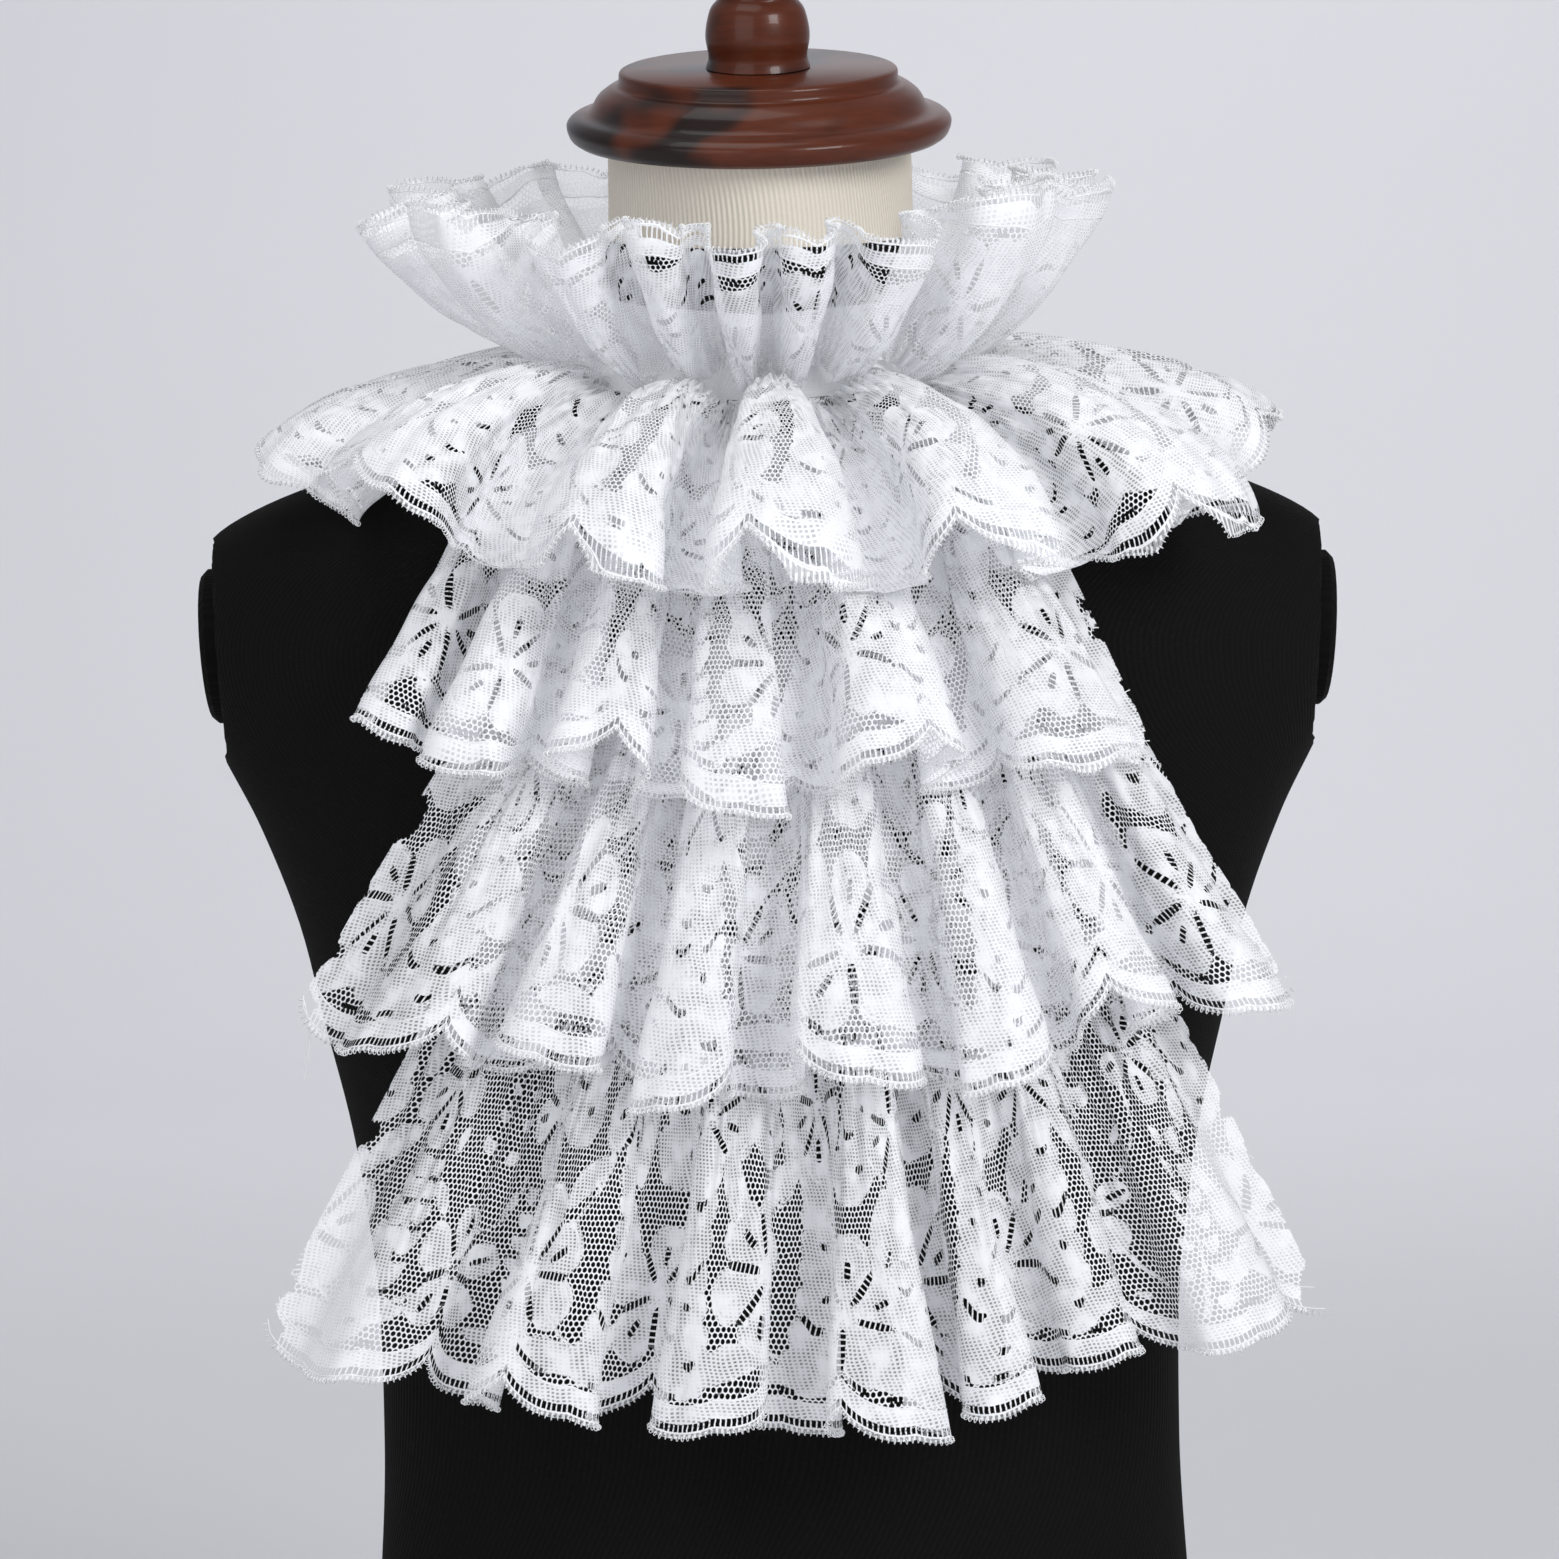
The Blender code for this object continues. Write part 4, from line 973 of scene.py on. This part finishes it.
def rib_knit_material(colours, name, around, tall):
    """Near-black fine rib knit, with its places given in millimetres round and up the piece."""
    shading = Shading(name, tuple(colours.cover), 0.9)
    shading.shader.inputs["Specular IOR Level"].default_value = 0.08
    around, tall = around(shading), tall(shading)
    rib = shading.wave(around, 2.3)
    loops = shading.wave(tall, 1.1)
    shading.bump(rib + loops * 0.18, 0.0005, 0.55)
    fade = shading.noise(shading.join(around, tall, 0.0), 0.012, 3.0)
    # Painted shade: the knit is coloured darker in the grooves between its ribs and lighter on their crests,
    # and a noise fades it at random
    dark = tuple(colours.cover)
    light = tuple(c * 1.7 for c in dark)
    shading.tint(rib * 0.55 + fade * 0.45, dark, light)
    return shading.material


def cover_material(colours):
    """The rib knit on the form, whose ribs follow the piece's own run."""

    def place(name):
        return lambda shading: shading.attribute(name)

    return rib_knit_material(colours, "form_cover", place("around"), place("tall"))


def plate_material(colours):
    """The rib knit stretched over the plates of the arms."""

    def place(axis):
        return lambda shading: shading.parts(shading.object_place())[axis] * 1000

    return rib_knit_material(colours, "plate_cover", place(1), place(2))


def tape_material(colours):
    """White cotton tape with a fine slanting weave."""
    shading = Shading("tape", tuple(c * 0.97 for c in colours.lace), 0.75)
    along, up = shading.attribute("along"), shading.attribute("up")
    shading.bump(shading.wave(along + up, 0.9), 0.0002, 0.5)
    return shading.material


def linen_material(colours):
    """Cream linen with fine slanting ribs."""
    shading = Shading("neck_linen", tuple(colours.linen), 0.78)
    around, tall = shading.attribute("around"), shading.attribute("tall")
    rib = shading.wave(around + tall * 0.35, 1.9)
    slub = shading.noise(shading.join(around * 0.6, tall * 3.0, 0.0), 0.5, 2.0)
    shading.bump(rib + slub * 0.3, 0.0004, 0.7)
    # Painted shade: the linen is coloured darker in the grooves between its ribs and lighter on their
    # crests; the slubs vary it at random
    pale = tuple(colours.linen)
    deep = tuple(c * 0.80 for c in pale)
    shading.tint(rib * 0.7 + slub * 0.3, deep, pale)
    return shading.material


def varnished_wood_material(colours):
    """Turned red-brown wood under gloss varnish, with flowing grain and near-black patches that gather
    towards the left.
    """
    shading = Shading("varnished_wood", tuple(colours.wood), 0.34)
    shading.shader.inputs["Specular IOR Level"].default_value = 0.20
    shading.shader.inputs["Coat Weight"].default_value = 0.18
    shading.shader.inputs["Coat Roughness"].default_value = 0.06
    place = shading.object_place()
    warp = shading.noise(place, 14.0, 3.0, 0.6)
    x, y, z = shading.parts(place)
    rings = shading.join(x * 1.0 + warp * 0.035, y * 0.25, z * 5.0 + warp * 0.05)
    grain = shading.noise(rings, 95.0, 5.0, 0.62)
    streak = shading.noise(shading.join(x * 0.35, y * 0.35, z * 9.0), 60.0, 3.0)
    # Near-black patches from a noise, more of them towards the left side (lower x)
    flow = shading.noise(shading.join(x + 0.013, y + 0.05, z * 1.6), 21.0, 2.0)
    dark_left_patches = shading.step(flow - x * 2.6, 0.54, 0.66)
    warm = shading.blend(grain, tuple(colours.wood), tuple(min(c * 2.3, 1) for c in colours.wood))
    deep = shading.blend(streak * 0.5, warm, tuple(c * 0.35 for c in colours.wood))
    shading.tint(dark_left_patches * 0.93, deep, (0.006, 0.004, 0.0035))
    shading.bump(grain, 0.0003, 0.12)
    return shading.material


def wall_material(name, colour):
    shading = Shading(name, colour, 0.9)
    fade = shading.noise(shading.object_place(), 1.4, 2.0)
    shading.tint(fade, tuple(c * 0.97 for c in colour), colour)
    return shading.material


MADE = {}


def material(name):
    """One material of the collar, made the first time that it is asked for."""
    if name not in MADE:
        colours = bpy.context.scene.lace_collar_colours
        makers = {
            "lace": lambda: lace_material(colours),
            "form_cover": lambda: cover_material(colours),
            "plate_cover": lambda: plate_material(colours),
            "tape": lambda: tape_material(colours),
            "neck_linen": lambda: linen_material(colours),
            "wood": lambda: varnished_wood_material(colours),
            "thread": lambda: plain_material("lace_thread", tuple(colours.thread), 0.55),
        }
        MADE[name] = makers[name]()
    return MADE[name]


def new_piece(name, mesh, shade, replaced=()):
    """Links a mesh as a piece on the one body, with its material, and hides the CAD parts that it replaces.
    """
    piece = bpy.data.objects.new(name, mesh)
    bpy.context.scene.collection.objects.link(piece)
    mesh.materials.clear()
    mesh.materials.append(material(shade))
    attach(piece, "root")
    if replaced:
        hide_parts(*replaced)
    return piece


def grid_mesh(name, points, closed=False):
    """A smooth sheet of quads over rows and columns of points; closed joins the last column to the first."""
    rows, columns = points.shape[:2]
    number = np.arange(rows * columns).reshape(rows, columns)
    if closed:
        number = np.concatenate([number, number[:, :1]], axis=1)
    corners = (number[:-1, :-1], number[:-1, 1:], number[1:, 1:], number[1:, :-1])
    quads = np.stack(corners, axis=-1).reshape(-1, 4)
    mesh = bpy.data.meshes.new(name)
    mesh.vertices.add(rows * columns)
    mesh.vertices.foreach_set("co", points.reshape(-1).astype(np.float32))
    mesh.loops.add(quads.size)
    mesh.loops.foreach_set("vertex_index", quads.reshape(-1).astype(np.int32))
    mesh.polygons.add(len(quads))
    mesh.polygons.foreach_set("loop_start", np.arange(0, quads.size, 4, dtype=np.int32))
    mesh.update(calc_edges=True)
    mesh.validate()
    mesh.shade_smooth()
    return mesh


def add_field(mesh, name, values):
    field = mesh.attributes.new(name, "FLOAT", "POINT")
    field.data.foreach_set("value", np.ascontiguousarray(values, dtype=np.float32).reshape(-1))


def add_flat_map(mesh, across, up):
    """A UV map of the flat cloth, one unit for each tenth of a metre."""
    uv = mesh.uv_layers.new(name="flat")
    corner = np.empty(len(mesh.loops), np.int32)
    mesh.loops.foreach_get("vertex_index", corner)
    flat = np.stack([across.reshape(-1), up.reshape(-1)], axis=-1)[corner] * 10
    uv.data.foreach_set("uv", flat.reshape(-1).astype(np.float32))


def fullness(node, along, up, seed):
    """How much the figures are grown at each point of a ruffle, in millimetres."""
    share = along / along.max()
    grown = FULLER[node] + 0.9 * soft_noise(along / 0.11, up / 0.12, seed + 5)
    for middle in OPEN_NET.get(node, ()):
        grown = grown - OPEN_DEPTH * np.exp(-(((share - middle) / OPEN_WIDTH) ** 2))
    return grown


def lace_mesh(name, points, places, seed, fuller):
    """A fine sheet of lace that keeps its flat places, in metres, and its figures for the material."""
    mesh = grid_mesh(name, points)
    add_flat_map(mesh, places["along"], places["up"])
    for field, values in LacePattern(places["along"], places["up"], seed, fuller).fields().items():
        add_field(mesh, field, values)
    for field, values in places.items():
        add_field(mesh, field, values * 1000)
    return mesh


def lace_piece(node):
    """A ruffle as a lace sheet with its sewn hem, standing for its CAD node."""
    strip = ruffle(node)
    end = np.minimum(strip.flat_along, strip.length - strip.flat_along)
    places = {"along": strip.flat_along, "up": strip.flat_up, "edge": strip.edge, "end": end}
    grown = fullness(node, strip.flat_along, strip.flat_up, strip.seed)
    mesh = lace_mesh(strip.name, strip.points, places, strip.seed, grown)
    piece = new_piece(strip.name, mesh, "lace", (node,))
    cut = strip.length * (strip.strip - strip.notched)
    hem_trims(node)


def hem_trims(node):
    """Picot loops, laid cords and frayed ends along a ruffle's edges."""
    sizes = bpy.context.scene.lace_collar_sizes
    strip = ruffle(node)
    values = {"Spacing": sizes.picot_spacing, "Loop": sizes.picot_loop, "Thread": sizes.thread}
    loops = picot_tree().result(curve_object("hem", [strip.line(0.0, 1)]), values, "picots_" + node)
    lines = [strip.line(up, 2) for up in (0.0017, 0.0098)] + strip.frays()
    cords = cord_tree().result(curve_object("cords", lines), {"Thread": sizes.thread}, "cords_" + node)
    return [new_piece(mesh.name, mesh, "thread") for mesh in (loops, cords)]


def band_points():
    """The neck band's middle surface. Its right end laps over its left end at the back."""
    foot = band_at(np.linspace(-180, 180, 181), 0.0)
    lap = 360 * BAND_LAP / np.linalg.norm(np.diff(foot, axis=0), axis=1).sum()
    bearing = np.linspace(-180, 180 + lap, 420)
    lapping = np.clip((bearing - 180 + lap) / lap, 0, 1)
    step_out = (CLOTH + SEAM_GAP) * lapping**2 * (3 - 2 * lapping)
    up = np.linspace(BAND_HEIGHT, 0, 22)[:, None]
    return band_at(np.where(bearing > 180, bearing - 360, bearing)[None, :], up, step_out)


def bib_points():
    """The bib's middle surface, from its top to its foot."""
    down = np.linspace(0, 1, 138)[:, None]
    across = np.linspace(-1, 1, 166)[None, :]
    half = [BIB[side][0] + (BIB[side][1] - BIB[side][0]) * down for side in ("left", "right")]
    x = across * np.where(across < 0, half[0], half[1])
    top = BIB["top"] - BIB_TOP_DIP * across**2
    return on_chest(x, top + (BIB["foot"] - top) * down, BIB["clear"] + CLOTH / 2)


def flat_places(points):
    """How far along and up the flat cloth each point of a smooth sheet lies."""
    along = np.zeros(points.shape[:2])
    along[:, 1:] = np.linalg.norm(np.diff(points, axis=1), axis=-1).cumsum(axis=1)
    up = np.zeros(points.shape[:2])
    up[:-1] = np.linalg.norm(np.diff(points, axis=0), axis=-1)[::-1].cumsum(axis=0)[::-1]
    return along, up


def turned_rings(profile, lift, steps):
    """Rings of a turned solid, square to the tilted top of the neck."""
    ranks = np.linspace(0, len(profile) - 1, (len(profile) - 1) * 6 + 1)
    stations = np.arange(len(profile))
    radius, height = (smooth_curve(stations, column(profile, name), ranks) for name in ("radius", "height"))
    radius = np.concatenate([radius[:1] / 20, radius, radius[-1:] / 20])[:, None]
    height = np.concatenate([height[:1], height, height[-1:]])[:, None] + lift
    turn = np.linspace(0, 2 * math.pi, steps, endpoint=False)[None, :]
    depth = radius * np.sin(turn)
    tilted = depth * math.cos(NECK_TILT) - height * math.sin(NECK_TILT) + neck_middle()
    tall = depth * math.sin(NECK_TILT) + height * math.cos(NECK_TILT) + FORM_SECTIONS[-1]["height"]
    return np.stack([radius * np.cos(turn), tilted, tall], axis=-1)


def curve_object(name, lines):
    """Open poly lines as one curve object, for a tree of geometry nodes to work on."""
    curve = bpy.data.curves.new(name, "CURVE")
    curve.dimensions = "3D"
    for line in lines:
        spline = curve.splines.new("POLY")
        spline.points.add(len(line) - 1)
        flat = np.concatenate([line, np.ones((len(line), 1))], axis=1)
        spline.points.foreach_set("co", flat.reshape(-1).astype(np.float32))
    thing = bpy.data.objects.new(name, curve)
    bpy.context.scene.collection.objects.link(thing)
    return thing


class NodeTree:
    """A tree of geometry nodes with named sizes as its inputs, built step by step."""

    def __init__(self, name, *sizes):
        self.tree = bpy.data.node_groups.new(name, "GeometryNodeTree")
        face = self.tree.interface
        face.new_socket("Geometry", in_out="INPUT", socket_type="NodeSocketGeometry")
        self.sockets = {}
        for label in sizes:
            made = face.new_socket(label, in_out="INPUT", socket_type="NodeSocketFloat")
            self.sockets[label] = made.identifier
        face.new_socket("Geometry", in_out="OUTPUT", socket_type="NodeSocketGeometry")
        self.start = self.tree.nodes.new("NodeGroupInput")
        self.end = self.tree.nodes.new("NodeGroupOutput")

    def node(self, kind, settings=None, inputs=None):
        made = self.tree.nodes.new(kind)
        for name, value in (settings or {}).items():
            setattr(made, name, value)
        for name, value in (inputs or {}).items():
            if isinstance(value, bpy.types.NodeSocket):
                self.tree.links.new(value, made.inputs[name])
            else:
                made.inputs[name].default_value = value
        return made

    def given(self, label):
        return self.start.outputs[label]

    def circle(self, sides, label):
        """A ring with some sides, whose radius is one of the tree's sizes."""
        inputs = {"Resolution": sides, "Radius": self.given(label)}
        return self.node("GeometryNodeCurvePrimitiveCircle", inputs=inputs).outputs[0]

    def thread(self, line, sides, capped):
        """A round thread along a line."""
        inputs = {"Curve": line, "Profile Curve": self.circle(sides, "Thread"), "Fill Caps": capped}
        return self.node("GeometryNodeCurveToMesh", inputs=inputs).outputs[0]

    def finish(self, geometry, shade):
        real = self.node("GeometryNodeRealizeInstances", inputs={"Geometry": geometry})
        inputs = {"Geometry": real.outputs[0], "Material": shade}
        named = self.node("GeometryNodeSetMaterial", inputs=inputs)
        self.tree.links.new(named.outputs[0], self.end.inputs[0])

    def result(self, thing, values, name):
        """Runs the tree on an object with the values given, and returns the plain mesh that it makes."""
        modifier = thing.modifiers.new("nodes", "NODES")
        modifier.node_group = self.tree
        for label, value in values.items():
            modifier[self.sockets[label]] = value
        depsgraph = bpy.context.evaluated_depsgraph_get()
        mesh = bpy.data.meshes.new_from_object(thing.evaluated_get(depsgraph), depsgraph=depsgraph)
        mesh.name = name
        thing.modifiers.remove(modifier)
        bpy.data.objects.remove(thing, do_unlink=True)
        return mesh


def picot_tree():
    """Whip-stitched loops along a hem: short bowed tubes set side by side."""
    tree = NodeTree("picot_hem", "Spacing", "Loop", "Thread")
    even = tree.node(
        "GeometryNodeResampleCurve",
        {"mode": "LENGTH"},
        {"Curve": tree.given("Geometry"), "Length": tree.given("Spacing")},
    )
    loop = tree.thread(tree.circle(8, "Loop"), 3, False)
    seats = tree.node("GeometryNodeCurveToPoints", {"mode": "EVALUATED"}, {"Curve": even.outputs[0]})
    scales = {"Min": 0.8, "Max": 1.15, "Seed": 7}
    scale = tree.node("FunctionNodeRandomValue", {"data_type": "FLOAT"}, scales)
    placed = tree.node(
        "GeometryNodeInstanceOnPoints",
        inputs={
            "Points": seats.outputs["Points"],
            "Instance": loop,
            "Rotation": seats.outputs["Rotation"],
            "Scale": scale.outputs[1],
        },
    )
    tree.finish(placed.outputs[0], material("thread"))
    return tree


def cord_tree():
    """A round thread laid along a line."""
    tree = NodeTree("laid_cord", "Thread")
    tree.finish(tree.thread(tree.given("Geometry"), 5, True), material("thread"))
    return tree


RUFFLES = {}


def ruffle(node):
    """The ruffle that dresses a CAD node, worked out the first time that it is asked for."""
    if node not in RUFFLES:
        makers = {"ruff": ruff_ruffle, "cape": cape_ruffle}
        RUFFLES[node] = makers[node]() if node in makers else tier_ruffle(node)
    return RUFFLES[node]


def add_lofted(name, rings, shade, replaced):
    """A closed smooth piece through rings, with the run round it and its height kept for a knit or weave."""
    sides = rings.shape[1]
    mesh = grid_mesh(name, rings, closed=True)
    around = np.linalg.norm(np.diff(rings, axis=1, append=rings[:, :1]), axis=-1).cumsum(axis=1)
    add_field(mesh, "around", around * 1000)
    add_field(mesh, "tall", np.broadcast_to(rings[..., 2], around.shape) * 1000)
    build = bmesh.new()
    build.from_mesh(mesh)
    build.verts.ensure_lookup_table()
    last = len(build.verts) - sides
    build.faces.new([build.verts[i] for i in reversed(range(sides))])
    build.faces.new([build.verts[last + i] for i in range(sides)])
    bmesh.ops.recalc_face_normals(build, faces=build.faces)
    build.to_mesh(mesh)
    build.free()
    mesh.shade_smooth()
    mesh.set_sharp_from_angle(angle=math.radians(50))
    return new_piece(name, mesh, shade, replaced)


def length_property(name, description, default):
    return FloatProperty(name=name, description=description, default=default, unit="LENGTH")


def count_property(name, description, default, least):
    return IntProperty(name=name, description=description, default=default, min=least)


def colour_property(name, description, default):
    look = {"subtype": "COLOR", "size": 3}
    return FloatVectorProperty(name=name, description=description, default=default, **look)


class CollarSizes(bpy.types.PropertyGroup):
    """Sizes that change the look without moving the solids."""

    picot_spacing: length_property("Picot Spacing", "Distance between the hem's small loops", 0.0021)
    picot_loop: length_property("Picot Loop", "Radius of a hem loop", 0.0008)
    thread: length_property("Thread", "Radius of the heavy thread", 0.00020)
    form_sides: count_property("Form Sides", "Faces round the dress form", 160, 32)
    turned_steps: count_property("Turned Steps", "Faces round the turned wood", 96, 24)
    camera_distance: length_property("Camera Distance", "From the camera to the collar", 2.2)


class CollarColours(bpy.types.PropertyGroup):
    """Base colours of the finishes."""

    lace: colour_property("Lace", "Colour of the lace", (0.84, 0.85, 0.87))
    thread: colour_property("Thread", "Colour of the heavy thread", (0.88, 0.89, 0.90))
    cover: colour_property("Cover", "Colour of the knitted cover", (0.0045, 0.0042, 0.0042))
    linen: colour_property("Linen", "Colour of the bare neck", (0.88, 0.81, 0.69))
    wood: colour_property("Wood", "Colour of the turned wood", (0.064, 0.014, 0.005))
    wall: colour_property("Wall", "Colour of the backdrop", (0.80, 0.80, 0.83))


class COLLAR_OT_stage(bpy.types.Operator):
    """Sets up the pale backdrop, the studio lights and the camera"""

    bl_idname = "lace_collar.stage"
    bl_label = "Stage"

    def execute(self, context):
        scene = context.scene
        distance = scene.lace_collar_sizes.camera_distance
        wide = SEEN_WIDTH * distance / SEEN_FROM
        camera = bpy.data.objects.new("camera", bpy.data.cameras.new("camera"))
        scene.collection.objects.link(camera)
        down = math.radians(CAMERA_DOWN)
        camera.location = Vector(CAMERA_AIM) - Vector((0, math.cos(down), -math.sin(down))) * distance
        camera.rotation_euler = (math.radians(90 - CAMERA_DOWN), 0, 0)
        camera.rotation_euler.rotate_axis("Z", math.radians(CAMERA_LEAN))
        camera.data.lens = camera.data.sensor_width * distance / wide
        camera.data.shift_x = PHOTO_SHIFT / PHOTO_SIDE
        scene.camera = camera
        self.add_backdrop(scene)
        for row in LIGHTS:
            self.add_light(scene, **row)
        world = bpy.data.worlds.new("studio")
        world.use_nodes = True
        sky = world.node_tree.nodes["Background"]
        sky.inputs["Color"].default_value = SKY_COLOUR
        sky.inputs["Strength"].default_value = SKY_STRENGTH
        scene.world = world
        scene.view_settings.view_transform = "Standard"
        scene.cycles.transparent_max_bounces = 24
        return {"FINISHED"}

    def add_backdrop(self, scene):
        """A floor that sweeps up into a wall, far enough back to leave the form open to view from behind."""
        front, back, bend, top, half = -4.6, 4.6, 1.2, 5.5, 5.5
        turn = np.linspace(0, math.pi / 2, 13)
        curve = zip(back - bend + bend * np.sin(turn), bend - bend * np.cos(turn) - FLOOR_DROP)
        path = [(front, -FLOOR_DROP), *curve, (back, top)]
        points = np.array([[(x, y, z) for x in (half, -half)] for y, z in path])
        mesh = grid_mesh("backdrop", points)
        backdrop = bpy.data.objects.new("backdrop", mesh)
        scene.collection.objects.link(backdrop)
        mesh.materials.append(wall_material("backdrop", tuple(scene.lace_collar_colours.wall)))

    def add_light(self, scene, name, place, aim, size, power):
        light = bpy.data.lights.new(name, "AREA")
        light.size = size
        light.energy = power
        lamp = bpy.data.objects.new(name, light)
        scene.collection.objects.link(lamp)
        lamp.location = place
        lamp.rotation_euler = (Vector(aim) - lamp.location).to_track_quat("-Z", "Y").to_euler()


class COLLAR_OT_form(bpy.types.Operator):
    """Builds the covered torso and the bare linen neck"""

    bl_idname = "lace_collar.form"
    bl_label = "Dress Form"

    def execute(self, context):
        sides = context.scene.lace_collar_sizes.form_sides
        covered = np.concatenate([np.linspace(0, 0.36, 60), np.linspace(0.365, COVER_TOP, 90)])
        add_lofted("dressed_torso", form_rings(covered, sides), "form_cover", ("form_torso",))
        bare = np.linspace(COVER_TOP + SEAM_GAP, FORM_SECTIONS[-1]["height"], 14)
        rings = form_rings(bare, sides, COVER_STEP)
        add_lofted("linen_neck", rings, "neck_linen", ("form_neck",))
        for name in ("arm_plate_left", "arm_plate_right"):
            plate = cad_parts[name]
            plate.data.materials.clear()
            plate.data.materials.append(material("plate_cover"))
        return {"FINISHED"}


class COLLAR_OT_wood(bpy.types.Operator):
    """Gives the turned cap and finial their varnished wood"""

    bl_idname = "lace_collar.wood"
    bl_label = "Turned Wood"

    def execute(self, context):
        steps = context.scene.lace_collar_sizes.turned_steps
        cap = turned_rings(CAP_PROFILE, SEAM_GAP, steps)
        add_lofted("turned_cap", cap, "wood", ("neck_cap",))
        finial = turned_rings(FINIAL_PROFILE, SEAM_GAP + CAP_PROFILE[0]["height"] + SEAM_GAP, steps)
        add_lofted("turned_finial", finial, "wood", ("finial",))
        return {"FINISHED"}


class COLLAR_OT_base_cloth(bpy.types.Operator):
    """Builds the neck band and the net bib"""

    bl_idname = "lace_collar.base_cloth"
    bl_label = "Band and Bib"

    def execute(self, context):
        points = band_points()
        along, up = flat_places(points)
        mesh = grid_mesh("band_tape", points)
        add_flat_map(mesh, along, up)
        add_field(mesh, "along", along * 1000)
        add_field(mesh, "up", up * 1000)
        band = new_piece("band_tape", mesh, "tape", ("neck_band",))
        flat = (float(along[:, -1].mean()), BAND_HEIGHT)
        points = bib_points()
        along, up = flat_places(points)
        end = np.minimum(along, along[:, -1:] - along)
        places = {"along": along, "up": up, "edge": up + STRIP, "end": end}
        mesh = lace_mesh("lace_bib", points, places, 8.0, 0.0)
        bib = new_piece("lace_bib", mesh, "lace", ("bib",))
        wide, tall = along[:, -1], up[0]
        flat = (float(wide.max()), float(tall.max()))
        area = float(wide.mean() * tall.mean())
        return {"FINISHED"}


class COLLAR_OT_ruffles(bpy.types.Operator):
    """Builds the ruff, the cape and the bib's tiers as fine lace with sewn hems"""

    bl_idname = "lace_collar.ruffles"
    bl_label = "Lace Ruffles"

    def execute(self, context):
        for node in ("ruff", "cape"):
            lace_piece(node)
        for node in TIERS:
            lace_piece(node)
        return {"FINISHED"}


class COLLAR_OT_thread(bpy.types.Operator):
    """Lets one loose thread hang from the middle tier's left end"""

    bl_idname = "lace_collar.thread"
    bl_label = "Loose Thread"

    def execute(self, context):
        start = ruffle("tier_middle").points[-3, 1]
        down = np.linspace(0, 1, 12)[:, None]
        sway = np.concatenate([0.0016 * np.sin(3.4 * down), -0.0010 * down, -0.027 * down], axis=1)
        values = {"Thread": context.scene.lace_collar_sizes.thread * 1.3}
        mesh = cord_tree().result(curve_object("loose", [start + sway]), values, "loose_thread")
        new_piece("loose_thread", mesh, "thread")
        return {"FINISHED"}


class COLLAR_PT_panel(bpy.types.Panel):
    """Lists the collar's sizes, colours and makers"""

    bl_label = "Lace Collar"
    bl_idname = "COLLAR_PT_panel"
    bl_space_type = "VIEW_3D"
    bl_region_type = "UI"
    bl_category = "Lace Collar"

    def draw(self, context):
        for group in (context.scene.lace_collar_sizes, context.scene.lace_collar_colours):
            for name in group.__annotations__:
                self.layout.prop(group, name)
        for operator in OPERATORS:
            self.layout.operator(operator.bl_idname)


OPERATORS = (
    COLLAR_OT_stage,
    COLLAR_OT_form,
    COLLAR_OT_wood,
    COLLAR_OT_base_cloth,
    COLLAR_OT_ruffles,
    COLLAR_OT_thread,
)
CLASSES = (CollarSizes, CollarColours, *OPERATORS, COLLAR_PT_panel)


def register():
    for each in CLASSES:
        bpy.utils.register_class(each)
    bpy.types.Scene.lace_collar_sizes = PointerProperty(type=CollarSizes)
    bpy.types.Scene.lace_collar_colours = PointerProperty(type=CollarColours)


def unregister():
    del bpy.types.Scene.lace_collar_colours
    del bpy.types.Scene.lace_collar_sizes
    for each in reversed(CLASSES):
        bpy.utils.unregister_class(each)


def main():
    register()
    for operator in OPERATORS:
        group, name = operator.bl_idname.split(".")
        getattr(getattr(bpy.ops, group), name)()


if __name__ == "__main__":
    main()
